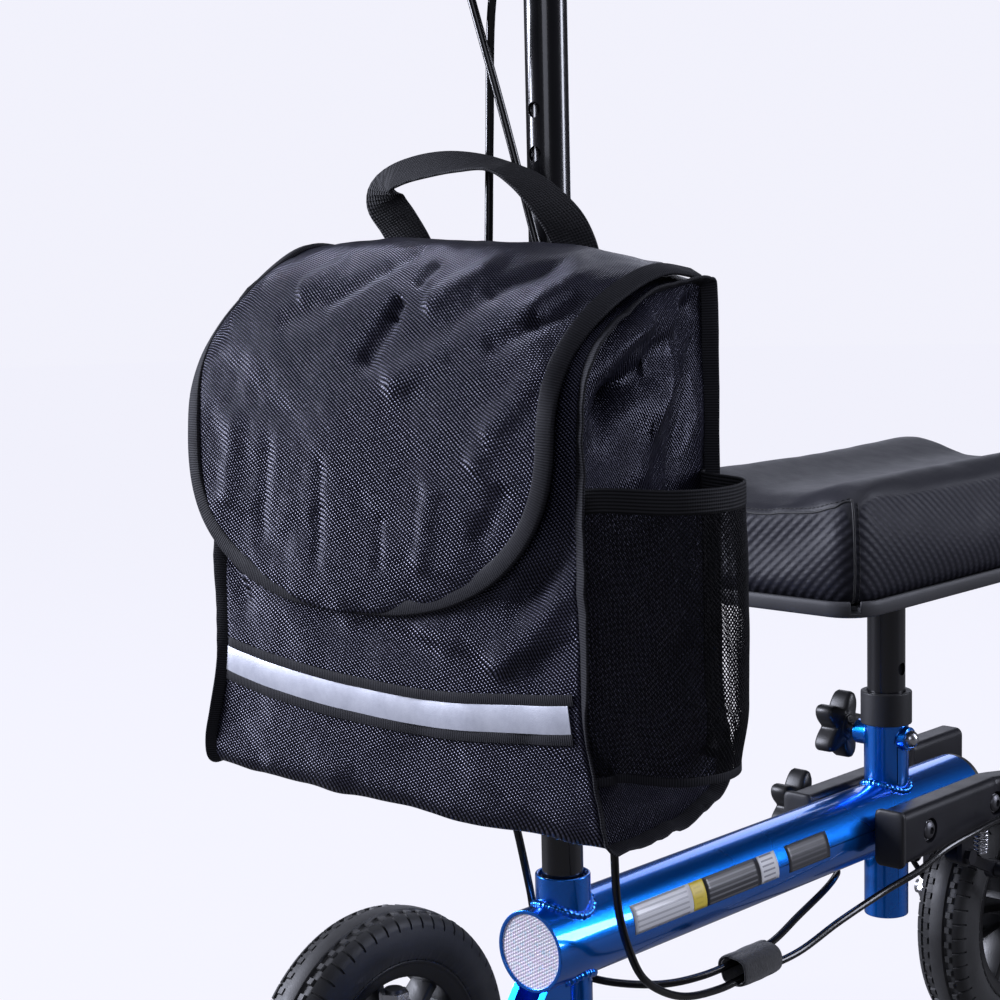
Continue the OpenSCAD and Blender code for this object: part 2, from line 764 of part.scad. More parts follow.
module bag_flap() color([0.14, 0.14, 0.17]) place() {
    translate([flap_hinge_x, 0, bag_high + 3]) rod_y(2, flap_y[0], flap_y[1]);
    span([flap_hinge_x, flap_y[0], bag_high + 1], [flap_front, flap_y[1], bag_high + 5]);
    mid = (flap_y[0] + flap_y[1]) / 2;
    half = (flap_y[1] - flap_y[0]) / 2;
    drop = 100;
    bow_r = (half * half + drop * drop) / (2 * drop);
    shoulder = 330;
    translate([flap_front - 4, 0, 0]) rotate([90, 0, 90]) linear_extrude(4)
        intersection() {
            translate([flap_y[0], shoulder - drop])
                square([2 * half, bag_high + 1 - shoulder + drop]);
            union() {
                translate([mid, shoulder - drop + bow_r]) circle(bow_r);
                translate([flap_y[0], shoulder]) square([2 * half, 200]);
            }
        }
}

module reflective_strip() color("gainsboro") place()
    span([bag_front, -bag_w / 2 + 15, 176], [bag_front + 0.8, bag_w / 2 - 15, 192]);

// Webbing loop sewn to the bag's top behind the flap
module bag_handle() color("black") place() {
    half = 70;
    rise = 52;
    loop_r = (half * half + rise * rise) / (2 * rise);
    translate([bag_back + 1, 0, 0]) rotate([90, 0, 90]) linear_extrude(20) intersection() {
        translate([0, bag_high + rise - loop_r]) difference() {
            circle(loop_r + 2.5);
            circle(loop_r);
        }
        translate([-100, bag_high]) square([200, 80]);
    }
}

// Two straps that hold the bag to the sleeve
module bag_straps() color("black") place() for (z = [305, 345]) difference() {
    union() {
        rod_z(sleeve_r + 2.5, z - 12, z + 12);
        span([0, -14, z - 12], [bag_back, 14, z + 12]);
    }
    rod_z(sleeve_r, z - 13, z + 13);
}

// ---------------------------------------------------------------- parts

main_tube();
head_tube();
seat_tube();
seat_collar();
tube_reflector();
tube_end_cap();
axle_beam();
kingpin_bushes();
headset_bearings();
rear_arm_left();
rear_arm_right();
arm_end_caps();
arm_spacers();
cross_bolts();
rear_axle();
brake_bands();
brake_brackets();
brake_spring_left();
brake_spring_right();
brake_cable_left();
brake_cable_right();
cable_wrap();
fork_knob();
seat_knob();
seat_post();
cushion_tray();
knee_cushion();
tray_screws();
steerer();
fold_hinge_lower();
knuckle_left();
knuckle_right();
front_axle_left();
front_axle_right();
tie_rod_left();
tie_rod_right();
tyre_front_left();
tyre_front_right();
tyre_rear();
rim_front_left();
rim_front_right();
rim_rear();
brake_drums();
stem_sleeve();
sleeve_collar();
bag_body();
bottle_pocket();
reflective_strip();
bag_handle();
bag_straps();
bag_flap();
fold_latch();
stem_knob();
handlebar();
grips();
brake_perches();
brake_lever_left();
brake_lever_right();
brake_arm_left();
brake_arm_right();
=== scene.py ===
"""Looks of a three-wheeled knee scooter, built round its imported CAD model.

Lengths in the drawing code are millimetres from the point where the head tube crosses the
main tube: +X forward, +Y the rider's left, +Z up. at() turns them into the frame's metres.
"""
import json
from math import cos, exp, pi, radians, sin, sqrt, tau
import bmesh
import bpy
from mathutils import Matrix, Vector, noise
from mathutils.bvhtree import BVHTree


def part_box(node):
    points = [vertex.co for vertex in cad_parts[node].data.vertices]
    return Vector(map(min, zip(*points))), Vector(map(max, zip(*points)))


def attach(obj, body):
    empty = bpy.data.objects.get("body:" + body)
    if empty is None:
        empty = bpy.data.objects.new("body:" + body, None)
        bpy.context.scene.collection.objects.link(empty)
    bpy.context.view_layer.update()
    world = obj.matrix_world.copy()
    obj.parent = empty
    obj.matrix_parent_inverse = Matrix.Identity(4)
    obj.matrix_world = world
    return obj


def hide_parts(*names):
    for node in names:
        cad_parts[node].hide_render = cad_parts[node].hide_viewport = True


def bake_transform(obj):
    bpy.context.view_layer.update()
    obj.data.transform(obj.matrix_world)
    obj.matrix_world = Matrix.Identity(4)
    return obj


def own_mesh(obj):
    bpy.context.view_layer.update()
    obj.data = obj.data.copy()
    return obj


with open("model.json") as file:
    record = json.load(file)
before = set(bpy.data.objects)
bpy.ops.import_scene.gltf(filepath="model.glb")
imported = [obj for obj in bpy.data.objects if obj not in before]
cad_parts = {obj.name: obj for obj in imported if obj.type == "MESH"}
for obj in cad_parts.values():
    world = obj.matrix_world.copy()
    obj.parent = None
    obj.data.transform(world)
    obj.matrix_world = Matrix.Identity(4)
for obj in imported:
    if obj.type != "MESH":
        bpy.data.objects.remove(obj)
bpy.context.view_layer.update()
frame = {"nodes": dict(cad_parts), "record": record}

MM = 0.001
scene = bpy.context.scene
nodes = frame["nodes"]

# ------------------------------------------------------------ frame measures

head_lo, head_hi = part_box("head_tube")
main_lo, main_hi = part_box("main_tube")
ORIGIN = Vector(((head_lo.x + head_hi.x) / 2, 0, (main_lo.z + main_hi.z) / 2))


def at(x, y, z):
    return ORIGIN + Vector((x, y, z)) * MM


def extent(node):
    """Lowest and highest corner of a CAD node, in millimetres from the crossing."""
    lo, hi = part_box(node)
    return (lo - ORIGIN) / MM, (hi - ORIGIN) / MM


def middle(node):
    lo, hi = extent(node)
    return (lo + hi) / 2


TUBE_R = (main_hi.z - main_lo.z) / 2 / MM
SEAT_X = middle("seat_tube").x
AXLE_X, _, AXLE_Z = middle("tyre_rear")
TYRE_LO, TYRE_HI = extent("tyre_rear")
WHEEL_R, TYRE_HALF = (TYRE_HI.z - TYRE_LO.z) / 2, (TYRE_HI.y - TYRE_LO.y) / 2
RIM_LO, RIM_HI = extent("rim_rear")
RIM_R = (RIM_HI.z - RIM_LO.z) / 2

# ------------------------------------------------------------------ drawing


def lerp(a, b, t):
    return a + (b - a) * t


def smoothstep(t):
    t = min(1, max(0, t))
    return t * t * (3 - 2 * t)


def spline(points, steps, closed=False):
    """The same smooth curve through given points that the CAD cables follow."""
    p = [Vector(q) for q in points]
    held = [p[-1]] + p + p[:2] if closed else [p[0]] + p + [p[-1]]
    out = []
    for a, b, c, d in zip(held, held[1:], held[2:], held[3:]):
        for k in range(steps):
            t = k / steps
            out.append(0.5 * (2 * b + (c - a) * t + (2 * a - 5 * b + 4 * c - d) * t * t
                              + (3 * b - a - 3 * c + d) * t ** 3))
    return out if closed else out + [p[-1]]


def directions(path, closed=False):
    n = len(path)
    if closed:
        return [(path[(i + 1) % n] - path[i - 1]).normalized() for i in range(n)]
    return [(path[min(i + 1, n - 1)] - path[max(i - 1, 0)]).normalized() for i in range(n)]


def running(path):
    """Distance along a path at each of its points, in metres."""
    out, total = [0.0], 0.0
    for a, b in zip(path, path[1:]):
        total += (b - a).length * MM
        out.append(total)
    return out


def reached(lengths, want):
    """The first point of a path at least want along it, and the share of the step to it."""
    i = next((j for j in range(1, len(lengths)) if lengths[j] >= want), len(lengths) - 1)
    return i, (want - lengths[i - 1]) / max(1e-9, lengths[i] - lengths[i - 1])


class Shape:
    """Points in millimetres from the crossing, and the faces between them."""

    def __init__(self):
        self.points, self.faces = [], []

    def add(self, points, faces):
        base = len(self.points)
        self.points += [Vector(p) for p in points]
        self.faces += [[base + i for i in f] for f in faces]
        return self

    def merge(self, other):
        return self.add(other.points, other.faces)

    def moved(self, matrix):
        out = Shape().add([matrix @ p for p in self.points], self.faces)
        if matrix.determinant() < 0:
            out.faces = [f[::-1] for f in out.faces]
        return out

    def side(self, s):
        """As drawn on the left, or mirrored to the right."""
        return self if s > 0 else self.moved(Matrix.Diagonal((1, -1, 1, 1)))

    def grid(self, rows, close_u=False, close_v=False):
        """A skin over rows of points; close_u joins each row's ends, close_v the rows."""
        n, m = len(rows), len(rows[0])
        faces = [[i * m + j, i * m + (j + 1) % m, (i + 1) % n * m + (j + 1) % m,
                  (i + 1) % n * m + j]
                 for i in range(n if close_v else n - 1) for j in range(m if close_u else m - 1)]
        return self.add([p for row in rows for p in row], faces)

    def loft(self, rings):
        """A closed solid through rings of points, with flat ends."""
        n, m = len(rings), len(rings[0])
        self.grid(rings, close_u=True)
        base = len(self.points) - n * m
        self.faces.append([base + i for i in range(m)][::-1])
        self.faces.append([base + (n - 1) * m + i for i in range(m)])
        return self

    def prism(self, outline, left, right):
        """An outline of (x, z) pairs, anticlockwise, drawn out from one y to a lesser one."""
        return self.loft([[(a, y, b) for a, b in outline] for y in (left, right)])

    def revolve(self, profile, centre, steps=48, whole=False):
        """(radius, y) pairs turned round the Y axis; whole joins the profile's ends."""
        rings = []
        for k in range(steps):
            c, s = cos(tau * k / steps), sin(tau * k / steps)
            rings.append([Vector(centre) + Vector((r * s, y, r * c)) for r, y in profile])
        return self.grid(rings, close_u=whole, close_v=True)

    def sweep(self, path, section, up=None, closed=False):
        """A section of (across, up) pairs along a path. up is one vector or one a point."""
        ways = directions(path, closed)
        v = Vector(up[0] if isinstance(up, list) else up or (0, 0, 1))
        if up is None and abs(ways[0].dot(v)) > 0.9:
            v = Vector((1, 0, 0))
        rings = []
        for i, (p, t) in enumerate(zip(path, ways)):
            if up is not None:
                v = Vector(up[i] if isinstance(up, list) else up)
            v = (v - t * v.dot(t)).normalized()
            w = t.cross(v)
            rings.append([p + w * a + v * b for a, b in section])
        return self.grid(rings, close_u=True, close_v=True) if closed else self.loft(rings)

    def tube(self, path, radius, sides):
        return self.sweep(path, circle(radius, sides))


def circle(r, n, centre=(0, 0)):
    return [(centre[0] + r * cos(tau * k / n), centre[1] + r * sin(tau * k / n))
            for k in range(n)]


def round_box(half_a, half_b, r, n=5):
    """A rectangle with round corners, anticlockwise from the +a side."""
    return [(sa * (half_a - r) + r * cos((q + k / n) * pi / 2),
             sb * (half_b - r) + r * sin((q + k / n) * pi / 2))
            for q, (sa, sb) in enumerate(((1, 1), (-1, 1), (-1, -1), (1, -1)))
            for k in range(n + 1)]


def ripple(p, scale, seed=0.0):
    """Smooth noise from -1 to 1 at a point, with features of about scale millimetres."""
    return noise.noise(Vector(p) / scale + Vector((seed, seed * 0.7, -seed)))


def shade(mesh, angle):
    mesh.shade_smooth()
    if angle < 180:
        mesh.set_sharp_from_angle(angle=radians(angle))


def piece(name, shape, mat, body=None, replaces=(), angle=35, bevel=0, segments=3,
          uv=None):
    """A Blender mesh from a Shape, riding on its CAD body."""
    mesh = bpy.data.meshes.new(name)
    mesh.from_pydata([at(*p) for p in shape.points], [], shape.faces)
    mesh.validate()
    bm = bmesh.new()
    bm.from_mesh(mesh)
    bmesh.ops.recalc_face_normals(bm, faces=bm.faces)
    bm.to_mesh(mesh)
    bm.free()
    mesh.materials.append(mat)
    if uv:
        layer = mesh.uv_layers.new(name="cloth")
        for loop in mesh.loops:
            layer.data[loop.index].uv = uv[loop.vertex_index]
    shade(mesh, angle)
    obj = bpy.data.objects.new(name, mesh)
    scene.collection.objects.link(obj)
    if bevel:
        add_bevel(obj, bevel, segments)
    if body:
        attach(obj, body)
    if replaces:
        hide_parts(*replaces)
    return obj


def add_bevel(obj, width, segments=3, angle=32):
    mod = obj.modifiers.new("edges", "BEVEL")
    mod.width = width * MM
    mod.segments = segments
    mod.limit_method = "ANGLE"
    mod.angle_limit = radians(angle)
    mod.harden_normals = True
    return mod


def add_weld(obj, distance):
    obj.modifiers.new("weld", "WELD").merge_threshold = distance


def add_thickness(obj, thick, offset):
    mod = obj.modifiers.new("thickness", "SOLIDIFY")
    mod.thickness, mod.offset = thick * MM, offset


# ---------------------------------------------------------------- materials


class Finish:
    """A Principled material and short ways to wire procedural detail into it."""

    def __init__(self, name, color, roughness, **sockets):
        self.mat = bpy.data.materials.new(name)
        self.mat.use_nodes = True
        self.tree = self.mat.node_tree
        self.bsdf = self.tree.nodes["Principled BSDF"]
        self.bsdf.inputs["Base Color"].default_value = (*color, 1)
        self.bsdf.inputs["Roughness"].default_value = roughness
        for key, value in sockets.items():
            self.bsdf.inputs[key.replace("_", " ")].default_value = value
        self.space = self.add("ShaderNodeTexCoord").outputs["Object"]
        self.cloth = self.add("ShaderNodeUVMap", uv_map="cloth").outputs[0]
        self.normal = None

    def add(self, kind, **values):
        node = self.tree.nodes.new(kind)
        for key, value in values.items():
            if key in node.inputs:
                node.inputs[key].default_value = value
            else:
                setattr(node, key, value)
        return node

    def link(self, a, b):
        self.tree.links.new(a, b)

    def separate(self, vector):
        n = self.add("ShaderNodeSeparateXYZ")
        self.link(vector, n.inputs[0])
        return n.outputs

    def rotated(self, coords, angle):
        """A pair of coordinates turned by an angle in degrees."""
        a, b = coords
        c, s = cos(radians(angle)), sin(radians(angle))
        return (self.math("ADD", self.math("MULTIPLY", a, c), self.math("MULTIPLY", b, s)),
                self.math("SUBTRACT", self.math("MULTIPLY", b, c), self.math("MULTIPLY", a, s)))

    def unrolled(self):
        """Across and down a box-shaped thing: y - x and z - x keep a weave whole at its edges."""
        x, y, z = self.separate(self.space)[:3]
        return self.math("SUBTRACT", y, x), self.math("SUBTRACT", z, x)

    def wave(self, value, pitch):
        """A sine from 0 to 1 that repeats each pitch."""
        return self.math("MULTIPLY_ADD", self.math("SINE", self.math(
            "MULTIPLY", value, tau / pitch)), 0.5, 0.5)

    def weave(self, pitch_a, pitch_b, angle, coords):
        """Rows of short floats, as on a plain or ribbed cloth, from 0 to 1."""
        u, v = self.rotated(coords, angle)
        a = self.math("SINE", self.math("MULTIPLY", u, tau / pitch_a))
        b = self.math("SINE", self.math("MULTIPLY", v, tau / pitch_b))
        return self.math("MULTIPLY_ADD", self.math("MULTIPLY", a, b), 0.5, 0.5)

    def twill(self, pitch, coords):
        """Diagonal embossed cords, each broken into short blocks."""
        u, v = self.rotated(coords, 45)
        rows = self.wave(u, pitch)
        blocks = self.wave(self.math("ADD", v, self.math("MULTIPLY", u, 0.5)), pitch * 1.1)
        return self.math("MULTIPLY", rows, self.math("MULTIPLY_ADD", blocks, 0.45, 0.55))

    def band(self, value, low, high):
        """1 where the value's size lies between low and high."""
        size = self.math("ABSOLUTE", value)
        return self.math("MULTIPLY", self.math("GREATER_THAN", size, low),
                         self.math("LESS_THAN", size, high))

    def noise(self, scale, detail=3.0, rough=0.5):
        n = self.add("ShaderNodeTexNoise", Scale=scale, Detail=detail, Roughness=rough)
        self.link(self.space, n.inputs["Vector"])
        return n.outputs["Fac"]

    def cells(self, scale):
        """Distance from the middles of small scattered cells: pores, beads or foam."""
        n = self.add("ShaderNodeTexVoronoi", Scale=scale)
        self.link(self.space, n.inputs["Vector"])
        return n.outputs["Distance"]

    def math(self, op, a, b=None, c=None):
        n = self.add("ShaderNodeMath", operation=op)
        for i, v in enumerate((a, b, c)):
            if isinstance(v, (int, float)):
                n.inputs[i].default_value = v
            elif v is not None:
                self.link(v, n.inputs[i])
        return n.outputs[0]

    def ramp(self, fac, stops):
        n = self.add("ShaderNodeValToRGB")
        ramp = n.color_ramp
        while len(ramp.elements) < len(stops):
            ramp.elements.new(0.5)
        for e, (pos, col) in zip(ramp.elements, stops):
            e.position, e.color = pos, (*col, 1)
        self.link(fac, n.inputs["Fac"])
        return n.outputs["Color"]

    def vary(self, socket, fac, low, high):
        """Roughness or another value that runs from low to high with fac."""
        n = self.add("ShaderNodeMapRange")
        n.inputs["To Min"].default_value = low
        n.inputs["To Max"].default_value = high
        self.link(fac, n.inputs["Value"])
        self.link(n.outputs["Result"], self.bsdf.inputs[socket])
        return self

    def tint(self, fac, dark, light, lo=0.3, hi=0.7):
        self.link(self.ramp(fac, [(lo, dark), (hi, light)]), self.bsdf.inputs["Base Color"])
        return self

    def bump(self, height, strength, distance):
        n = self.add("ShaderNodeBump", Strength=strength, Distance=distance)
        self.link(height, n.inputs["Height"])
        if self.normal:
            self.link(self.normal, n.inputs["Normal"])
        self.normal = n.outputs["Normal"]
        self.link(self.normal, self.bsdf.inputs["Normal"])
        return self


NYLON_PITCH = 0.0021     # distance between the nylon's thread rows


def candy_blue():
    f = Finish("candy_blue", (0.0, 0.12, 0.7), 0.3, Metallic=0.9, Coat_Weight=1.0,
               Coat_Roughness=0.035)
    f.tint(f.noise(2600, 1.0), (0.0, 0.12, 0.7), (0.0, 0.27, 1.0), 0.35, 0.65)
    f.vary("Roughness", f.noise(9), 0.22, 0.32)
    return f.bump(f.noise(160, 1.0), 0.05, 0.0004).mat


def gloss_black():
    f = Finish("gloss_black", (0.006, 0.006, 0.008), 0.22, Coat_Weight=0.6, Coat_Roughness=0.04)
    f.vary("Roughness", f.noise(30), 0.18, 0.3)
    return f.bump(f.noise(320, 1.0), 0.06, 0.0004).mat


def satin_black():
    f = Finish("satin_black", (0.009, 0.009, 0.012), 0.4, Specular_IOR_Level=0.4)
    f.tint(f.noise(22), (0.006, 0.006, 0.009), (0.012, 0.012, 0.017))
    f.vary("Roughness", f.noise(60), 0.34, 0.5)
    return f.bump(f.noise(900, 2.0), 0.16, 0.0003).mat


def moulded(name, color, rough, grain=700):
    f = Finish(name, color, rough)
    f.tint(f.noise(18), tuple(c * 0.8 for c in color), tuple(c * 1.25 for c in color))
    f.vary("Roughness", f.noise(70), rough - 0.06, rough + 0.07)
    return f.bump(f.noise(grain), 0.22, 0.0003).mat


def metal(name, color, rough):
    f = Finish(name, color, rough, Metallic=1.0)
    f.tint(f.noise(90, 4.0), tuple(c * 0.88 for c in color), tuple(c * 1.06 for c in color))
    f.vary("Roughness", f.noise(200), rough - 0.05, rough + 0.08)
    return f.bump(f.noise(400), 0.05, 0.0002).mat


def rubber():
    f = Finish("tyre_rubber", (0.02, 0.02, 0.021), 0.55, Sheen_Weight=0.08)
    f.tint(f.noise(45, 5.0), (0.013, 0.013, 0.014), (0.03, 0.03, 0.031))
    f.vary("Roughness", f.noise(140), 0.42, 0.66)
    return f.bump(f.noise(800), 0.22, 0.0004).mat


def bag_nylon():
    """Diagonal-ribbed nylon: rows of short floats whose thread catches the light, with painted
    shade in the valleys between them and painted highlights on their crests.
    """
    f = Finish("bag_nylon", (0.02, 0.02, 0.03), 0.42, Specular_IOR_Level=0.28)
    u, v = f.rotated(f.unrolled(), 52)
    weave = f.math("MULTIPLY", f.wave(u, NYLON_PITCH), f.math(
        "MULTIPLY_ADD", f.wave(f.math("ADD", v, f.math("MULTIPLY", u, 0.6)),
                               NYLON_PITCH * 0.85), 0.5, 0.5))
    f.bsdf.inputs["Specular Tint"].default_value = (0.72, 0.72, 1, 1)
    # painted shade and highlight: the base colour runs from near black in the weave's valleys to
    # lighter on its thread crests
    f.tint(weave, (0.0006, 0.0006, 0.0014), (0.036, 0.036, 0.06), 0.15, 0.95)
    f.vary("Specular IOR Level", weave, 0.02, 1.0)
    f.vary("Roughness", f.noise(60), 0.27, 0.37)
    f.bump(f.noise(38, 4.0), 0.4, 0.005)
    return f.bump(weave, 0.8, 0.0008).mat


def binding():
    """Narrow woven tape: ribs across it, and a sewn line along each edge."""
    f = Finish("binding", (0.022, 0.022, 0.028), 0.72, Specular_IOR_Level=0.2)
    across, along = f.separate(f.cloth)[:2]
    ribs = f.wave(along, 0.0014)
    f.tint(ribs, (0.005, 0.005, 0.007), (0.022, 0.022, 0.028), 0.2, 0.8)
    f.vary("Roughness", f.noise(90), 0.62, 0.82)
    f.bump(f.noise(260), 0.15, 0.0006)
    f.bump(ribs, 0.4, 0.0004)
    dashes = f.math("GREATER_THAN", f.wave(along, 0.0032), 0.35)
    return f.bump(f.math("MULTIPLY", dashes, f.band(across, 0.0026, 0.0036)), 0.7, 0.0006).mat


def webbing():
    """Coarse strap webbing: dotted diagonal floats."""
    f = Finish("webbing", (0.012, 0.012, 0.014), 0.7, Specular_IOR_Level=0.2)
    rows = f.weave(0.0021, 0.0027, 45, f.separate(f.cloth)[:2])
    f.tint(rows, (0.004, 0.004, 0.005), (0.026, 0.026, 0.03), 0.2, 0.8)
    f.vary("Roughness", f.noise(90), 0.6, 0.8)
    f.bump(f.noise(120), 0.2, 0.001)
    return f.bump(rows, 0.7, 0.0008).mat


def elastic():
    """Knitted elastic: cords along the band, puckered across it."""
    f = Finish("elastic", (0.012, 0.012, 0.014), 0.75, Specular_IOR_Level=0.2)
    across, along = f.separate(f.cloth)[:2]
    cords = f.wave(across, 0.0018)
    f.tint(cords, (0.005, 0.005, 0.006), (0.026, 0.026, 0.03), 0.2, 0.8)
    f.vary("Roughness", f.noise(120), 0.65, 0.82)
    f.bump(f.wave(along, 0.0013), 0.25, 0.0004)
    return f.bump(cords, 0.6, 0.0006).mat


def mesh_cloth():
    f = Finish("pocket_mesh", (0.006, 0.006, 0.008), 0.6, Specular_IOR_Level=0.15)
    f.tint(f.noise(300, 4.0), (0.002, 0.002, 0.003), (0.008, 0.008, 0.011))
    return f.bump(f.noise(900), 0.3, 0.0003).mat


def loop_cloth():
    f = Finish("loop_cloth", (0.012, 0.012, 0.013), 0.9, Sheen_Weight=0.3, Sheen_Roughness=0.6)
    f.tint(f.noise(500, 5.0), (0.005, 0.005, 0.006), (0.028, 0.028, 0.031))
    return f.bump(f.noise(1100, 4.0), 0.8, 0.0008).mat


def thread():
    f = Finish("thread_dark", (0.008, 0.008, 0.009), 0.6, Sheen_Weight=0.1)
    f.tint(f.noise(700, 2.0), (0.004, 0.004, 0.005), (0.015, 0.015, 0.017))
    return f.bump(f.noise(1500, 2.0), 0.3, 0.0002).mat


def reflective_tape():
    f = Finish("reflective_tape", (0.6, 0.62, 0.7), 0.38, Metallic=0.25)
    f.tint(f.noise(70, 6.0, rough=0.75), (0.5, 0.52, 0.6), (0.68, 0.7, 0.78))
    f.vary("Roughness", f.noise(50), 0.32, 0.5)
    return f.bump(f.cells(1700), 0.25, 0.0002).mat


def reflector_foil():
    """Prismatic sheeting: hexagonal cells whose facets scatter faint colours."""
    f = Finish("reflector_foil", (0.85, 0.86, 0.95), 0.3, Coat_Weight=0.6, Metallic=0.1)
    u, v = f.separate(f.space)[1:3]
    rows = [f.wave(f.rotated((u, v), a)[0], 0.0019) for a in (0, 60, 120)]
    cells = f.math("MULTIPLY", f.math("ADD", f.math("ADD", rows[0], rows[1]), rows[2]), 0.4)
    grain = f.noise(330, 2.0)
    hue = f.ramp(grain, [(0.3, (0.72, 0.88, 1.0)), (0.45, (1.0, 0.98, 1.0)),
                         (0.6, (1.0, 0.84, 1.0)), (0.75, (0.86, 1.0, 1.0))])
    walls = f.ramp(cells, [(0.3, (0.66, 0.66, 0.78)), (0.65, (1, 1, 1))])
    mix = f.add("ShaderNodeMix", data_type="RGBA", blend_type="MULTIPLY")
    mix.inputs["Factor"].default_value = 1.0
    f.link(hue, mix.inputs[6])
    f.link(walls, mix.inputs[7])
    f.link(mix.outputs[2], f.bsdf.inputs["Base Color"])
    f.vary("Roughness", grain, 0.12, 0.3)
    return f.bump(cells, 0.6, 0.0006).mat


def vinyl():
    """Leathercloth: a smooth pored top panel, and sides embossed with diagonal twill."""
    f = Finish("vinyl", (0.03, 0.03, 0.034), 0.5, Specular_IOR_Level=0.4)
    x, y, z = f.separate(f.space)[:3]
    seat = middle("knee_cushion")
    half = extent("knee_cushion")[1] - seat
    over_x = f.math("SUBTRACT", f.math("ABSOLUTE", f.math("SUBTRACT", x, at(*seat).x)),
                    (half.x - 10) * MM)
    over_y = f.math("SUBTRACT", f.math("ABSOLUTE", y), (half.y - 10) * MM)
    outside = f.math("MAXIMUM", over_x, over_y)
    on_end = f.math("GREATER_THAN", over_x, over_y)
    across = f.math("SUBTRACT", f.math("MULTIPLY", x, f.math("SUBTRACT", on_end, 1)),
                    f.math("MULTIPLY", y, on_end))
    twill = f.twill(0.0052, (across, z))
    sides = f.math("MULTIPLY_ADD", outside, 900, 0.5)
    sides.node.use_clamp = True
    embossed = f.math("MULTIPLY", twill, sides)
    f.tint(embossed, (0.012, 0.012, 0.018), (0.028, 0.028, 0.038), 0.1, 0.8)
    f.vary("Roughness", f.noise(80), 0.46, 0.62)
    f.vary("Specular IOR Level", sides, 0.45, 0.2)
    f.bump(f.noise(60, 4.0), 0.18, 0.002)
    f.bump(f.cells(900), 0.25, 0.0003)
    return f.bump(embossed, 0.5, 0.0008).mat


def foam():
    f = Finish("grip_foam", (0.016, 0.016, 0.017), 0.85)
    f.tint(f.noise(40), (0.009, 0.009, 0.01), (0.02, 0.02, 0.022))
    f.vary("Roughness", f.noise(300), 0.75, 0.95)
    return f.bump(f.cells(1300), 0.5, 0.0005).mat


def label(name, color, patch):
    """A blank sticker with a few plain bars of a second tone."""
    f = Finish(name, color, 0.35, Coat_Weight=0.3)
    across, along = f.separate(f.cloth)[:2]
    bars = f.math("GREATER_THAN", f.wave(along, 0.0034), 0.72)
    inner = f.math("MULTIPLY", bars, f.band(across, patch[0], patch[1]))
    f.link(f.ramp(inner, [(0.4, color), (0.6, patch[2])]), f.bsdf.inputs["Base Color"])
    f.vary("Roughness", f.noise(120), 0.28, 0.45)
    return f.bump(f.noise(300), 0.05, 0.0002).mat


MAT = {
    "frame_blue": candy_blue(),
    "gloss_black": gloss_black(),
    "satin_black": satin_black(),
    "knob_plastic": moulded("knob_plastic", (0.012, 0.012, 0.013), 0.42),
    "black_plastic": moulded("black_plastic", (0.016, 0.016, 0.018), 0.5),
    "tray_plastic": moulded("tray_plastic", (0.045, 0.045, 0.05), 0.55, 500),
    "steel": metal("zinc_steel", (0.62, 0.62, 0.65), 0.24),
    "dark_steel": metal("dark_steel", (0.14, 0.14, 0.15), 0.42),
    "lever_alloy": metal("lever_alloy", (0.55, 0.55, 0.58), 0.3),
    "bronze": metal("bronze", (0.55, 0.36, 0.15), 0.4),
    "tyre_rubber": rubber(),
    "rim_plastic": moulded("rim_plastic", (0.012, 0.012, 0.013), 0.36),
    "cable_jacket": moulded("cable_jacket", (0.006, 0.006, 0.007), 0.2, 300),
    "grip_foam": foam(),
    "vinyl": vinyl(),
    "bag_nylon": bag_nylon(),
    "pocket_mesh": mesh_cloth(),
    "webbing": webbing(),
    "binding": binding(),
    "elastic": elastic(),
    "loop_cloth": loop_cloth(),
    "thread_dark": thread(),
    "reflective_tape": reflective_tape(),
    "reflector_foil": reflector_foil(),
}

# --------------------------------------------------- CAD nodes that stay shown

SLOT_OF = {s["node"]: s["material_slot"] for s in frame["record"]["subparts"]}
REDRAWN = {
    "bag_body", "bag_flap", "bottle_pocket", "reflective_strip", "bag_handle", "bag_straps",
    "knee_cushion", "cushion_tray", "tyre_front_left", "tyre_front_right", "tyre_rear",
    "rim_front_left", "rim_front_right", "rim_rear", "brake_cable_left", "brake_cable_right",
    "brake_spring_left", "brake_spring_right", "rear_arm_left", "rear_arm_right",
    "arm_end_caps", "seat_knob", "fork_knob", "stem_knob", "cable_wrap", "grips",
}


def finish_node(name, bevel=0.8, segments=2):
    """The node's own material, and its edges softened as the real edges are."""
    obj = nodes[name]
    obj.data.materials.clear()
    obj.data.materials.append(MAT[SLOT_OF[name]])
    if "custom_normal" in obj.data.attributes:
        obj.data.attributes.remove(obj.data.attributes["custom_normal"])
    add_weld(obj, 1e-5)
    obj.data.shade_smooth()
    add_bevel(obj, bevel, segments).harden_normals = False
    even = obj.modifiers.new("shading", "WEIGHTED_NORMAL")
    even.keep_sharp, even.weight = True, 90


for node_name in sorted(set(nodes) - REDRAWN):
    finish_node(node_name)

# ------------------------------------------------------------------- wheels


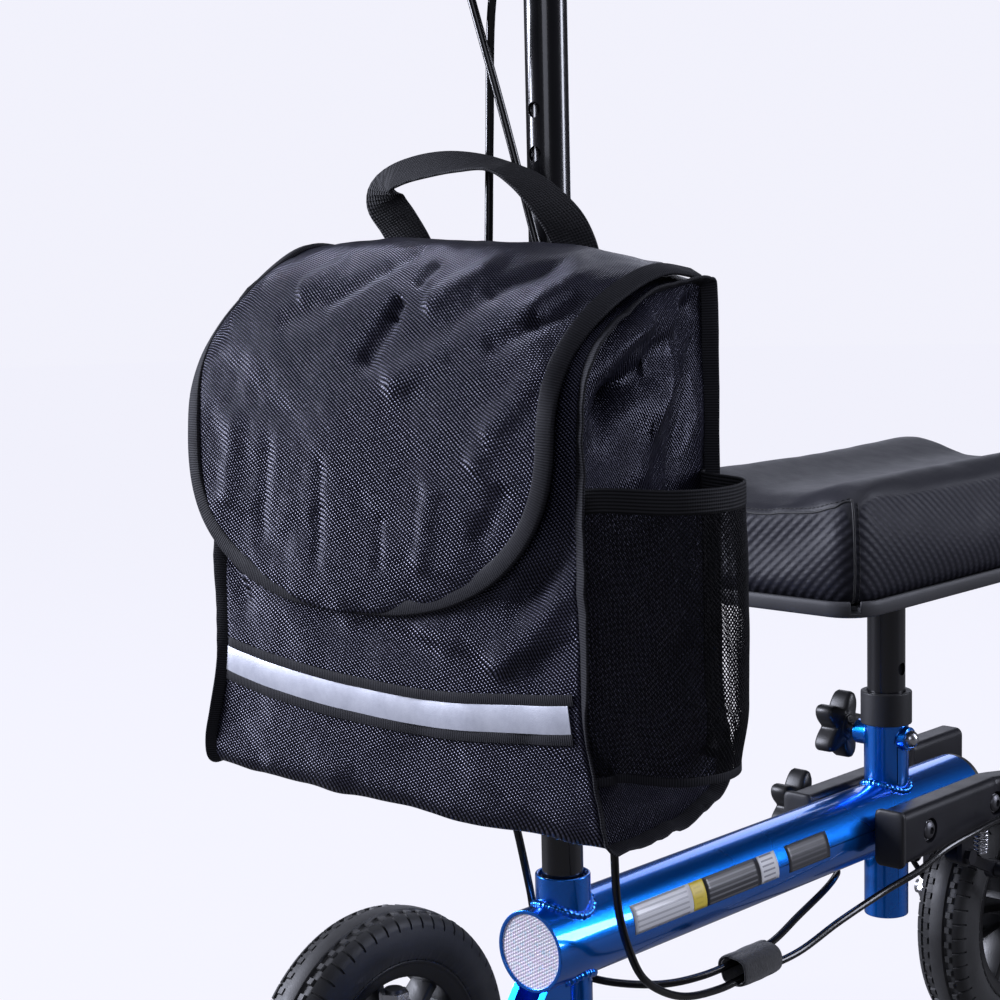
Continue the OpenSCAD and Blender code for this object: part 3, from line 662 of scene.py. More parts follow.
def tyre(name, body, centre):
    """Carcass with a smooth centre rib, lugs in the grooves beside it and cut shoulders."""
    blocks, lug, shoulder, groove = 56, (7.0, 12.0), (13.4, 20.7), 1.9
    half = [(0.1, 0.0), (0.2, 3.4), (0.7, 5.4), (2.8, 6.3), (3.1, 6.9), (3.1, 7.5),
            (3.2, 11.2), (3.3, 12.2), (3.5, 12.9), (2.2, 13.6), (3.4, 16.0), (5.6, 18.4),
            (8.2, 20.2), (9.8, 20.6), (11.0, 20.9), (14.5, 22.0), (19.0, 22.8),
            (23.0, TYRE_HALF), (27.0, 22.0), (30.0, 20.6), (31.4, 19.6), (32.0, 18.6),
            (34.6, 18.0)]
    half = [(WHEEL_R - drop, y) for drop, y in half]
    profile = [(r, -y) for r, y in half[:0:-1]] + half
    marks = [0.0, 0.16, 0.2, 0.56, 0.6, 0.84, 0.87, 0.96]
    rings = []
    for k in range(blocks):
        for m in marks:
            a = tau * (k + m) / blocks
            ring = []
            for r, y in profile:
                if lug[0] < abs(y) < lug[1] and 0.2 <= m <= 0.56:
                    r += groove
                if shoulder[0] <= abs(y) <= shoulder[1] and m >= 0.87:
                    r -= groove
                    y *= 0.965
                ring.append((r * sin(a), y, r * cos(a)))
            rings.append([Vector(centre) + Vector(p) for p in ring])
    piece(f"{name}_rubber", Shape().grid(rings, close_v=True), MAT["tyre_rubber"], body,
          [name], angle=32)


def rim(name, body, centre):
    """Moulded ring with a bead lip, hub and five pairs of spokes."""
    lip = [(73.4, 18.4), (73.0, 19.8), (71.6, 20.0), (70.4, 19.0), (69.2, 18.7),
           (62.8, 16.6), (61.2, 15.2), (60.8, 12.0), (60.6, 5.0)]
    ring = lip + [(r, -y) for r, y in lip[::-1]] + [(RIM_R + 0.4, -17.5), (RIM_R + 0.4, 17.5)]
    hub = [(11.1, 17.0), (13.4, 19.6), (16.6, 19.9), (19.0, 19.0), (19.6, 16.6), (20.6, 9.0)]
    hub = hub + [(r, -y) for r, y in hub[::-1]]
    shape = Shape()
    shape.revolve(ring, centre, steps=96, whole=True)
    shape.revolve(hub, centre, steps=64, whole=True)
    for k in range(5):
        turn = Matrix.Translation(centre) @ Matrix.Rotation(tau * k / 5, 4, "Y")
        for s in (1, -1):
            rings = []
            for t in (0.0, 0.12, 0.5, 0.88, 1.0):
                flare = 1 + 0.9 * max(0, abs(t - 0.5) * 2 - 0.7)
                x, z = lerp(17.5, 63.5, t), s * lerp(5.6, 11.5, t)
                rings.append([(x, a, z + b) for a, b in
                              round_box(lerp(12.5, 9.5, t), 3.3 * flare, 1.5, 2)])
            shape.merge(Shape().loft(rings).moved(turn))
    piece(f"{name}_wheel", shape, MAT["rim_plastic"], body, [name], angle=40,
          bevel=0.5, segments=2)


for end in ("front_left", "front_right", "rear"):
    hub_at = middle(f"tyre_{end}")
    tyre(f"tyre_{end}", f"wheel_{end}", hub_at)
    rim(f"rim_{end}", f"wheel_{end}", hub_at)

# ---------------------------------------------------------- rear arms, knobs


def apply_modifiers(obj):
    graph = bpy.context.evaluated_depsgraph_get()
    mesh = bpy.data.meshes.new_from_object(obj.evaluated_get(graph), depsgraph=graph)
    obj.modifiers.clear()
    obj.data = mesh


def cut(obj, cutter_shape):
    """Takes a shape out of a piece."""
    cutter = piece("cutter", cutter_shape, MAT["steel"])
    mod = obj.modifiers.new("cut", "BOOLEAN")
    mod.operation, mod.solver, mod.object = "DIFFERENCE", "EXACT", cutter
    bpy.context.view_layer.update()
    apply_modifiers(obj)
    bpy.data.objects.remove(cutter)


ARM_LO, ARM_HI = extent("rear_arm_left")
CAP_FRONT = extent("arm_end_caps")[1].x
ARM_IN, ARM_W, ARM_H = 28, 22, 38        # the arm's inner side, width and height
ARM_MID, ARM_OUT = ARM_IN + ARM_W / 2, ARM_IN + ARM_W
BEND_X, SPLAY = SEAT_X - 74, 23.4        # where the arms bend outwards, and how far
BOLTS_X = (SEAT_X + 20.5, SEAT_X - 71)
BOLT_FACE = 48.4                         # y of the floor in which the bolt heads sit
SPACER_R = 11


def rear_arm(name, s):
    """A square tube that bends outwards, with two counterbores and a leg to the axle."""
    route = [(ARM_HI.x, ARM_MID, 0), (BEND_X + 22, ARM_MID, 0), (BEND_X + 8, ARM_MID, 0),
             (BEND_X - 5, ARM_MID + 1.5, 0), (BEND_X - 40, ARM_MID + SPLAY - 1.5, 0),
             (BEND_X - 52, ARM_MID + SPLAY, 0), (ARM_LO.x, ARM_MID + SPLAY, 0)]
    path = [Vector(p) for p in route[:2]] + spline(route[1:-1], 5)[1:] + [Vector(route[-1])]
    shape = Shape().sweep(path, round_box(ARM_W / 2, ARM_H / 2, 5.5), up=(0, 0, 1)).side(s)
    obj = piece(f"{name}_tube", shape, MAT["satin_black"], "frame", [name],
                angle=40)
    holes = Shape()
    for x in BOLTS_X:
        holes.revolve([(0.01, ARM_OUT - 5), (8.4, ARM_OUT - 5), (9, ARM_OUT - 4.4),
                       (9, ARM_OUT + 2), (0.01, ARM_OUT + 2)], (x, 0, 0), 40, whole=True)
    cut(obj, holes.side(s))
    shade(obj.data, 40)
    add_bevel(obj, 0.7, 2, 40)
    foot = [(-16, 0)] + [(16 * cos(pi + pi * k / 16), 16 * sin(pi + pi * k / 16))
                         for k in range(1, 16)] + [(16, 0)]
    top = -ARM_H / 2 + 4
    leg = [(AXLE_X + a, AXLE_Z + b) for a, b in foot] + [(AXLE_X + 17, top), (AXLE_X - 17, top)]
    piece(f"{name}_leg", Shape().prism(leg, 66, 58).side(s), MAT["satin_black"], "frame",
          bevel=1.4)


def end_cap(s):
    """Moulded plug with a round edge in the front end of an arm."""
    rings = []
    for x, grow in ((0.2, -2.4), (0.0, -0.4), (0.6, 0.6), (3.2, 0.9), (4.3, 0.3), (4.8, -1.2),
                    (4.95, -4.0)):
        rings.append([(CAP_FRONT - 4 + x, ARM_MID + a, b) for a, b in
                      round_box(11.1 + grow, 19.6 + grow, 4.5)])
    return Shape().loft(rings).side(s)


def dome_head(x, y, z, radius):
    """Button head with a hexagon socket, its underside at y, facing +Y."""
    dome = [(radius * cos(a), 0.8 + radius * 0.42 * sin(a)) for a in
            [radians(78) * k / 6 for k in range(1, 7)]]
    return Shape().revolve([(0.01, 0), (radius, 0), (radius, 0.8)] + dome
                           + [(0.01, 0.8 + radius * 0.42)], (x, y, z), 40)


heads, sockets = Shape(), Shape()
for x in BOLTS_X:
    for s in (1, -1):
        if s > 0 or x == BOLTS_X[1]:     # the knob is on the right end of the front bolt
            heads.merge(dome_head(x, BOLT_FACE - 0.6, 0, 6.6).side(s))
        sockets.merge(Shape().prism(circle(2.9, 6, (x, 0)), 60, BOLT_FACE + 0.9).side(s))
bolts = piece("arm_bolt_heads", heads, MAT["dark_steel"], "frame", angle=50)
cut(bolts, sockets)
shade(bolts.data, 30)

caps = Shape()
for s, name in ((1, "rear_arm_left"), (-1, "rear_arm_right")):
    rear_arm(name, s)
    caps.merge(end_cap(s))
piece("arm_caps", caps, MAT["black_plastic"], "frame", ["arm_end_caps"],
      angle=60)


def knob(name, node, body, centre, y_out, reach, turn=None):
    """Five-lobed hand knob with a dished face at y_out and a boss that ends reach behind it."""
    steps, rings = 80, []

    def ring(radius, depth):
        rings.append([(radius(a) * cos(a), y_out + depth, radius(a) * sin(a))
                      for a in [tau * k / steps for k in range(steps)]])

    def lobes(angle):
        return 13.6 + 12.4 * (0.5 + 0.5 * cos(5 * (angle - radians(38)))) ** 0.9

    for scale, depth in ((0.0, 3.4), (0.28, 3.2), (0.44, 1.6)):
        ring(lambda a: lerp(lobes(a), 20, 0.8) * scale, depth)
    for scale, depth in ((0.7, 0.5), (0.88, 0.0), (0.96, 0.7), (1.0, 2.2), (1.0, 12.0),
                         (0.97, 14.2), (0.9, 15.4), (0.6, 16.0)):
        ring(lambda a: lobes(a) * scale, depth)
    for radius, depth in ((9.6, 16.2), (9.0, 16.6), (9.0, reach - 0.6), (8.4, reach),
                          (4.2, reach)):
        ring(lambda a: radius, depth)
    shape = Shape().grid(rings, close_u=True)
    tip = y_out + reach + 17.2
    pin = Shape().revolve([(0.01, y_out + reach - 4), (4, y_out + reach - 4), (4, tip - 0.7),
                           (3.4, tip), (0.01, tip)], (0, 0, 0), 24)
    place = Matrix.Translation(centre) @ (turn or Matrix.Identity(4))
    piece(f"{name}_stud", pin.moved(place), MAT["steel"], body)
    piece(f"{name}_grip", shape.moved(place), MAT["knob_plastic"], body,
          [node], angle=50)


knob("seat_lock", "seat_knob", "seat_knob", (SEAT_X, 0, middle("seat_knob").z), -48.5, 17.5)
knob("fork_lock", "fork_knob", "fork_knob", (BOLTS_X[0], 0, 0), -74.5, 17.5)
knob("stem_lock", "stem_knob", "stem_knob", (0, 0, middle("stem_knob").z), -60, 27,
     Matrix.Rotation(radians(-90), 4, "Z"))

# ------------------------------------------------------------------ springs


def spring(node, s):
    """Closed-end compression spring of round wire."""
    lo, hi = extent(node)
    x, y = middle(node).x, abs(middle(node).y)
    turns, per, wire, coil_r = 6.5, 20, 1.0, 4.9
    path = []
    for k in range(int(turns * per) + 1):
        t = k / (turns * per)
        rise = smoothstep(t) * 0.35 + t * 0.65
        a = tau * turns * t
        path.append(Vector((x + coil_r * cos(a), y + coil_r * sin(a),
                            lerp(lo.z + 1.1, hi.z - 1.1, rise))))
    shape = Shape().tube(path, wire, 8).side(s)
    coil = piece(f"{node}_coil", shape, MAT["steel"], "frame", [node], angle=60)
    at(x, s * y, hi.z)
    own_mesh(coil)


spring("brake_spring_left", 1)
spring("brake_spring_right", -1)

# ----------------------------------------------------------- welds and labels


def bead(path, radius, pitch):
    """A ripple of weld metal along a path."""
    along, rings, ways = 0.0, [], directions(path, True)
    for i, (p, t) in enumerate(zip(path, ways)):
        out = Vector((0, 0, 1)) if abs(t.z) < 0.9 else Vector((1, 0, 0))
        v = (out - t * t.dot(out)).normalized()
        w = t.cross(v)
        r = radius * (0.8 + 0.3 * abs(sin(pi * along / pitch)) + 0.12 * ripple(p, 4))
        rings.append([p + (w * cos(tau * k / 10) + v * sin(tau * k / 10)) * r
                      for k in range(10)])
        along += (path[(i + 1) % len(path)] - p).length
    return Shape().grid(rings, close_u=True, close_v=True)


def saddle(r, x, sign, steps):
    """Where an upright tube of that radius meets the main tube's wall."""
    return [Vector((x + r * cos(a), r * sin(a), sign * sqrt(TUBE_R ** 2 - (r * sin(a)) ** 2)))
            for a in [tau * k / steps for k in range(steps)]]


HEAD_R, SEAT_R = (head_hi.x - head_lo.x) / 2 / MM, 16
welds = Shape()
for sign in (1, -1):
    welds.merge(bead(saddle(HEAD_R + 0.6, 0, sign, 150), 2.7, 3.6))
    welds.merge(bead(saddle(SEAT_R + 0.6, SEAT_X, sign, 150), 2.7, 3.6))
for x in BOLTS_X:
    for s in (1, -1):
        ring = [Vector((p.x, p.z, p.y)) for p in saddle(SPACER_R + 0.3, x, s, 90)]
        welds.merge(bead(ring, 1.5, 2.8))
piece("weld_beads", welds, MAT["frame_blue"], "frame", angle=60)


def label_patch(name, x0, x1, low, high, mat):
    """A sticker lying on the main tube's left side, between two angles in degrees."""
    rows, uv = [], []
    r = TUBE_R + 0.12
    for i in range(9):
        a = radians(lerp(low, high, i / 8))
        rows.append([])
        for j in range(13):
            x = lerp(x0, x1, j / 12)
            rows[-1].append((x, r * cos(a), r * sin(a)))
            uv.append((abs(x - x0) * MM, (a - radians(low)) * r * MM))
    add_thickness(piece(name, Shape().grid(rows), mat, "frame", uv=uv, angle=180), 0.12, 1)


PALE = (0.72, 0.72, 0.74)
for name, x0, x1, color, line in (
        ("label_white", -38, -97, PALE, (0.45, 0.45, 0.48)),
        ("label_yellow", -97, -111, (0.78, 0.6, 0.06), (0.7, 0.52, 0.05)),
        ("label_black", -111, -170, (0.03, 0.03, 0.034), (0.16, 0.16, 0.17)),
        ("label_tag", -170, -190, PALE, (0.3, 0.3, 0.33)),
        ("label_rear", -202, -250, (0.05, 0.05, 0.055), (0.1, 0.1, 0.11))):
    mat = label(name, color, (0.003, abs(x1 - x0) * MM - 0.004, line))
    label_patch(name, x0, x1, -6, 36, mat)

# -------------------------------------------------------------------- cloth


def tape(name, path, width, thick, up, mat, body, replaces=(), closed=False):
    """A flat tape with its two sides facing along up, and its cloth coordinates."""
    section = round_box(width / 2, thick / 2, thick * 0.45, 2)
    uv = [(a * MM, s) for s in running(path) for a, _ in section]
    return piece(name, Shape().sweep(path, section, up, closed), MAT[mat], body,
                 replaces, angle=60, uv=uv)


def smoothed(line):
    inner = [(a + b * 2 + c) / 4 for a, b, c in zip(line, line[1:], line[2:])]
    return [line[0]] + inner + [line[-1]]


def evened(path, ups, step):
    """A path and its normals at even steps, with the kinks smoothed out."""
    lengths = running(path)
    count = int(lengths[-1] / (step * MM))
    out, turned = [], []
    for k in range(count + 1):
        i, f = reached(lengths, lengths[-1] * k / count)
        out.append(path[i - 1].lerp(path[i], f))
        turned.append(ups[i - 1].lerp(ups[i], f))
    for _ in range(3):
        out, turned = smoothed(out), [v.normalized() for v in smoothed(turned)]
    return out, turned


# ---------------------------------------------------------------------- bag

BAG_LO, BAG_HI = extent("bag_body")
BACK, FRONT, BOTTOM, RIM_Z = BAG_LO.x, BAG_HI.x, BAG_LO.z, BAG_HI.z
MID_X = (BACK + FRONT) / 2

# Outline of the bag seen from the side, as heights above its bottom and steps from its
# back: first at the end panels, then in the middle, where the load rounds it out
BAG_LOOP = [
    ((28, 7), (28, -2)), ((54, 1), (54, -5)), ((91, -2), (91, -4)), ((106, 3), (108, 1)),
    ((108, 33), (111, 33)), ((108, 83), (113.5, 83)), ((108, 133), (112, 133)),
    ((108, 183), (110, 183)), ((107, 221), (112, 221)), ((101, 247), (110, 262)),
    ((86, 264), (102, 289)), ((60, 277), (78, 300)), ((30, 285), (46, 302)),
    ((5, 286), (6, 300)), ((0, 273), (0, 273)), ((0, 183), (-1, 183)), ((0, 83), (-1, 83)),
    ((0, 35), (-1, 33)), ((8, 15), (6, 6)),
]


def seam_y(z, s):
    """y of an end panel at a height: both flare towards the bottom."""
    flare = smoothstep((190 - z) / 75)
    return 139 + 12 * flare if s > 0 else -(137 + 17 * flare)


def bag_station(u):
    """One upright slice of the bag; u runs from -1 at its right to 1 at its left."""
    mix = 1 - abs(u) ** 2.4
    lift = 13 if u < 0 else 0        # the right end's top stands higher
    keys = []
    for (ex, ez), (mx, mz) in BAG_LOOP:
        z = BOTTOM + lerp(ez + lift * smoothstep((ez - 235) / 45), mz, mix)
        keys.append((BACK + lerp(ex, mx, mix), 0, z))
    return spline(keys, 9, closed=True)


FOLDS = [        # folds of the bag's front: two ends, width and height
    ((139, 275), (95, 235), 7, -2.2), ((135, 250), (84, 205), 8, 1.8),
    ((137, 222), (108, 205), 6, -1.8), ((128, 300), (96, 262), 8, 1.6),
    ((30, 225), (95, 212), 9, 1.3), ((-20, 215), (40, 205), 8, -1.0),
    ((-138, 262), (-118, 215), 6, -1.8), ((-120, 240), (-60, 214), 10, 1.2),
    ((-100, 160), (-40, 128), 14, 1.6), ((60, 150), (135, 128), 10, 1.9),
    ((20, 160), (90, 140), 12, -1.2), ((-145, 150), (-110, 124), 8, -1.6),
    ((-70, 224), (-10, 200), 9, -1.2), ((100, 168), (140, 150), 6, -1.6),
]
SIDE_FOLDS = [   # the same for the end panels, from the bag's back and bottom
    ((6, 276), (92, 222), 7, -4.2), ((30, 270), (66, 178), 8, 4.2),
    ((8, 258), (34, 176), 6, -3.6), ((56, 272), (98, 240), 6, 3.4),
    ((74, 232), (104, 186), 7, -3.4),
]


def crease(y, z, folds):
    """Height of all folds at a point of one face."""
    total = 0.0
    for (y0, z0), (y1, z1), width, height in folds:
        dy, dz = y1 - y0, z1 - z0
        span2 = dy * dy + dz * dz
        t = ((y - y0) * dy + (z - z0) * dz) / span2
        fade = smoothstep(t / 0.3 + 0.6) * smoothstep((1 - t) / 0.3 + 0.6)
        t = min(1, max(0, t))
        d2 = (y - y0 - dy * t) ** 2 + (z - z0 - dz * t) ** 2
        total += height * exp(-d2 / (width * width)) * fade
    return total


BAG_CORE = Vector((MID_X, 0, 265))      # the bag swells away from a line through here


def outwards(p):
    return (Vector((p.x, 0, p.z)) - BAG_CORE).normalized()


def bag_row(u):
    """A slice of the bag with its folds."""
    row = []
    for p in bag_station(u):
        q = Vector((p.x, abs(u) * seam_y(p.z, 1 if u >= 0 else -1), p.z))
        low = smoothstep((300 - p.z) / 60)
        push = 1.6 * ripple(q, 60) + (0.5 + 1.2 * low) * ripple(q, 26, 3)
        push += 2.2 * low * crease(q.y, q.z, FOLDS) if p.x > MID_X + 30 else 0
        if p.x < BACK + 8:
            push = min(0, push)
        row.append(q + outwards(p) * push * (0.35 + 0.65 * (1 - abs(u) ** 12)))
    return row


def end_panel(row, s):
    """Rings from a slice at one end in to the panel's upright middle line, slightly past it."""
    rings = [row]
    for k in range(1, 15):
        t = k / 14
        ring = []
        for p in row:
            core = Vector((MID_X + 0.04 * (MID_X - p.x), 0,
                           min(RIM_Z - 45, max(BOTTOM + 40, p.z))))
            core.y = seam_y(core.z, s)
            q = p.lerp(core, t)
            flat = (q.x, 0, q.z)
            q.y += s * (3.6 * sin(pi * min(1, t * 1.1) * 0.5)
                        + (4.2 * ripple(flat, 38, 5 * s) + 2.2 * ripple(flat, 17, 2)
                           + crease(q.x - BACK, q.z - BOTTOM, SIDE_FOLDS))
                        * (1 + 0.8 * smoothstep((q.z - 290) / 40))
                        * sin(pi * min(1, t * 2) / 2))
            ring.append(q)
        rings.append(ring)
    return rings


bag_rows = [bag_row(-1 + 2 * k / 110) for k in range(111)]
bag_shape = Shape().grid(bag_rows, close_u=True)
bag_shape.grid(end_panel(bag_rows[0], -1)[::-1], close_u=True)
bag_shape.grid(end_panel(bag_rows[-1], 1), close_u=True)
add_weld(piece("bag_shell", bag_shape, MAT["bag_nylon"], "column", ["bag_body"],
               angle=180), 0.02 * MM)
BAG_TREE = BVHTree.FromPolygons([tuple(p) for p in bag_shape.points], bag_shape.faces)


def on_front(y, z, rise):
    """The point of the bag's front at that height and side."""
    hit = BAG_TREE.ray_cast(Vector((400, y, z)), Vector((-1, 0, 0)))[0]
    return Vector(((hit.x if hit else FRONT) + rise, y, z))


def end_binding(name, row, s):
    """Bound seam that stands out round one end panel."""
    path, up = [], []
    total = 0.0
    for i, p in enumerate(row):
        total += (p - row[i - 1]).length if i else 0
        away = outwards(p)
        wave = (1.8 * ripple((total, 0, 0), 34, s * 4.0) + 1.4 * ripple((total, 0, 0), 14, s)
                + 0.6 * ripple((total, 0, 0), 6, s))
        low = smoothstep((BOTTOM + 34 - p.z) / 30)
        path.append(p + away * (0.8 + wave * (0.7 + low)) + Vector((0, s * 3.2, 0)))
        lean = away * (1.0 + 0.3 * wave) - Vector((0, s * (0.42 + 0.22 * wave), 0))
        up.append(lean.normalized())
    tape(name, path, 9.5, 1.7, up, "binding", "column", closed=True)


end_binding("bag_binding_right", bag_rows[0], -1)
end_binding("bag_binding_left", bag_rows[-1], 1)


def front_line(y0, y1, height, rise):
    """A path across the bag's front at a height that depends on y."""
    return [on_front(y, height(y), rise) for y in [lerp(y0, y1, k / 80) for k in range(81)]]


def strip_z(y):
    """The reflective strip droops a little in the middle of the front."""
    return 172.9 + 0.00053 * (y + 2) ** 2 + 0.9 * ripple((y, 0, 0), 60, 9)


ahead = (1, 0, 0)
tape("reflective_strip_tape", front_line(-137.5, 133, strip_z, 0.9), 15, 0.5, ahead,
     "reflective_tape", "column", ["reflective_strip"])
for name, offset in (("strip_edge_upper", 10.4), ("strip_edge_lower", -10.4)):
    tape(name, front_line(-138, 135, lambda y: strip_z(y) + offset, 0.8), 6, 0.9, ahead,
         "binding", "column")

# --------------------------------------------------------------------- flap

FLAP_TIP = (-30, 225)                                # y and z of the flap's lowest point
FLAP_LEFT = [(40, 140, 405), (66, 140, 408.5), (89, 139, 404), (110, 137, 394),
             (127, 134, 381), (139, 131, 366), (147, 130, 350), (150, 129, 330)]
FLAP_RIGHT = [(40, -146, 420), (62, -147, 421), (90, -148, 408), (118, -149, 388),
              (137, -151, 366), (147, -152, 345), (150, -152, 325), (151, -152, 305)]
FLAP_MID = [(40, -3, 419), (66, -3, 426), (92, -4, 428), (115, -8, 427), (133, -10, 419),
            (147, -12, 400), (153, -13, 370), (155, -14, 330)]
FLAP_FOLDS = [
    ((20, 421), (3.5, 413), 5, -1.6), ((3.5, 413), (-33, 394), 5, -2.0),
    ((-33, 394), (-67, 383), 7, -1.2), ((23, 397), (18, 386), 5, -2.4),
    ((18, 386), (-2, 361), 6, -2.2), ((73, 414), (44, 395), 6, 2.0),
    ((100, 415), (81, 400), 5, -1.7), ((81, 400), (59, 384), 6, -1.3),
    ((116, 410), (105, 390), 6, 2.0), ((144, 411), (116, 400), 6, 1.5),
    ((123, 398), (110, 384), 5, -2.0), ((110, 384), (87, 372), 6, -1.4),
    ((-80, 317), (-93, 258), 5, -0.8), ((9, 279), (5, 250), 4, -0.7),
    ((-36, 308), (-43, 251), 4, -0.8), ((124, 363), (93, 331), 8, 1.8),
    ((93, 331), (80, 310), 8, 1.2), ((39, 417), (32, 405), 4, -1.5),
    ((-110, 330), (-120, 280), 8, 1.2), ((50, 300), (38, 255), 6, 0.8),
    ((-30, 415), (-55, 400), 6, 1.6), ((60, 372), (20, 352), 9, 1.6),
    ((-90, 405), (-120, 385), 8, 1.4), ((100, 300), (78, 270), 7, -1.2),
]


def flap_edge(points, steps):
    """A side edge of the flap, then its share of the round front down to the tip."""
    top = spline(points, 12)
    start = Vector(points[-1])
    half, drop = start.y - FLAP_TIP[0], start.z - FLAP_TIP[1]
    out = []
    for k in range(1, steps + 1):
        a = (pi / 2) * (k / steps) * 0.985
        out.append(Vector((start.x - 0.8 * sin(a), FLAP_TIP[0] + half * cos(a) ** (2 / 2.3),
                           start.z - drop * sin(a) ** (2 / 2.3))))
    return top + out


def flap_rows():
    steps, across = 80, 112
    left, right = flap_edge(FLAP_LEFT, steps), flap_edge(FLAP_RIGHT, steps)
    mid = spline(FLAP_MID, 12)
    count = len(left) - len(mid)
    mid += [Vector((lerp(155, 151.5, smoothstep(k / count)),
                    lerp(-14, FLAP_TIP[0], k / count),
                    0.5 * (left[len(mid) + k - 1].z + right[len(mid) + k - 1].z)))
            for k in range(1, count + 1)]
    rows = []
    for a, m, b in zip(right, mid, left):
        row = []
        for k in range(across + 1):
            u = -1 + 2 * k / across
            edge = a if u < 0 else b
            fill = 1 - abs(u) ** 3.2
            row.append(Vector((lerp(edge.x, m.x, fill), lerp(m.y, edge.y, abs(u)),
                               lerp(edge.z, m.z, fill))))
        rows.append(row)
    return rows


def grid_normals(rows):
    """The flap's outer normal at each point of its rows."""
    out = []
    for i, row in enumerate(rows):
        out.append([])
        for j in range(len(row)):
            a = rows[min(i + 1, len(rows) - 1)][j] - rows[max(i - 1, 0)][j]
            b = row[min(j + 1, len(row) - 1)] - row[max(j - 1, 0)]
            n = b.cross(a).normalized()
            out[-1].append(-n if n.x + n.z < 0 else n)
    return out


def shaped_flap():
    rows = flap_rows()
    out = []
    for row, norm in zip(rows, grid_normals(rows)):
        line = []
        for j, (p, n) in enumerate(zip(row, norm)):
            u = abs(2 * j / (len(row) - 1) - 1)
            push = 2.1 * crease(p.y, p.z, FLAP_FOLDS) + 2.4 * ripple(p, 62, 2)
            push += 1.5 * ripple(p, 27, 7) + 0.7 * ripple(p, 13, 4)
            line.append(p + n * push * (1 - 0.75 * u ** 8))
        out.append(line)
    return out


flap_grid = shaped_flap()
flap = piece("flap_cloth", Shape().grid(flap_grid), MAT["bag_nylon"], None,
             ["bag_flap"], angle=180)
add_thickness(flap, 1.6, 0)
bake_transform(flap)


def flap_binding():
    """Grosgrain tape folded over the flap's edge, all round but its sewn back."""
    pairs = list(zip(flap_grid, grid_normals(flap_grid)))
    line = [(row[0], norm[0]) for row, norm in pairs]
    line += [(row[-1], norm[-1]) for row, norm in pairs[::-1]]
    path, up = [], []
    for p, n in line:
        n = n.lerp(Vector((1, 0, 0)), smoothstep((300 - p.z) / 30)).normalized()
        inward = (Vector((p.x, lerp(p.y, FLAP_TIP[0], 0.5), p.z + 40)) - p).normalized()
        path.append(p + inward * 3.4 + n * 0.9)
        up.append(n)
    path, up = evened(path, up, 4.0)
    edge = tape("flap_binding", path, 11, 3.0, up, "binding", None)
    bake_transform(edge)


flap_binding()

# -------------------------------------------------- bottle pocket and handle

POCKET_LO, POCKET_HI = extent("bottle_pocket")
POCKET_Z = (150, 300)
POCKET_R = (POCKET_HI.x - POCKET_LO.x) / 2
POCKET_AT = Vector((middle("bottle_pocket").x, POCKET_HI.y - POCKET_R))


def pocket_plan(t, z):
    """Plan of the mesh pocket at a height: t runs from the back seam to the front seam."""
    top = smoothstep((z - 250) / 50)
    low = smoothstep((185 - z) / 38)
    r = POCKET_R - 1.4 - 1.2 * top - 5 * low
    side = seam_y(z, 1)
    keys = [(BACK + 3, side + 1, 0), (BACK + 10, side + 5, 0),
            (POCKET_AT.x - r, POCKET_AT.y - 4, 0),
            (POCKET_AT.x - r * 0.72, POCKET_AT.y + r * 0.69, 0),
            (POCKET_AT.x, POCKET_AT.y + r, 0),
            (POCKET_AT.x + r * 0.72, POCKET_AT.y + r * 0.69, 0),
            (POCKET_AT.x + r, POCKET_AT.y - 4, 0), (FRONT - 9, side + 5, 0),
            (FRONT - 2, side + 1, 0)]
    line = spline(keys, 8)
    lengths = running(line)
    i, f = reached(lengths, t * lengths[-1])
    p = line[i - 1].lerp(line[i], f)
    return Vector((p.x, p.y + 0.8 * ripple((p.x, z, 0), 30, 6), z))


def mesh_net():
    """Diamond net of the pocket's mesh, turned into threads by a wireframe."""
    cols, rows = 128, 104
    shape, index = Shape(), {}
    for k in range(rows + 1):
        for t in range(k % 2, cols + 1, 2):
            index[k, t] = len(shape.points)
            shape.points.append(pocket_plan(t / cols, lerp(*POCKET_Z, k / rows)))
    for k, t in index:
        quad = [(k, t), (k + 1, t + 1), (k + 2, t), (k + 1, t - 1)]
        if all(q in index for q in quad):
            shape.faces.append([index[q] for q in quad])
    return shape


net = piece("pocket_net", mesh_net(), MAT["pocket_mesh"], None,
            ["bottle_pocket"], angle=180)
wires = net.modifiers.new("threads", "WIREFRAME")
wires.thickness = 0.85 * MM
wires.use_even_offset = False
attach(net, "column")

band, hem = [[pocket_plan(k / 90, z) for k in range(91)]
             for z in (POCKET_Z[1] - 4, POCKET_Z[0] + 1)]
out = [(p - Vector((POCKET_AT.x, POCKET_AT.y - 25, p.z))).normalized() for p in band]
tape("pocket_elastic", band, 13, 1.6, out, "elastic", "column")
tape("pocket_hem", hem, 5, 1.4, out, "binding", "column")

# The carry handle: a point of its middle line and the way that its outer side faces there
HANDLE = [((45, -64, 412), (0.75, 0.5, 0.1)), ((45, -70, 424), (0.72, 0.48, 0.2)),
          ((45, -81, 438), (0.68, 0.42, 0.35)), ((46, -90, 450), (0.66, 0.3, 0.5)),
          ((46, -88, 462), (0.68, 0.15, 0.65)), ((45, -72, 468), (0.68, 0.1, 0.7)),
          ((45, -48, 471), (0.62, 0.1, 0.78)), ((45, -22, 471), (0.4, 0.12, 0.9)),
          ((45, 3, 468), (0.12, 0.15, 0.98)), ((45, 22, 460), (0.25, 0.4, 0.88)),
          ((45, 38, 448), (0.45, 0.6, 0.65)), ((44, 50, 435), (0.7, 0.6, 0.4)),
          ((43, 58, 420), (0.9, 0.4, 0.2)), ((43, 60, 412), (0.95, 0.3, 0.1))]
handle_path = spline([p for p, _ in HANDLE], 6)
handle_up = [v.normalized() for v in spline([v for _, v in HANDLE], 6)]
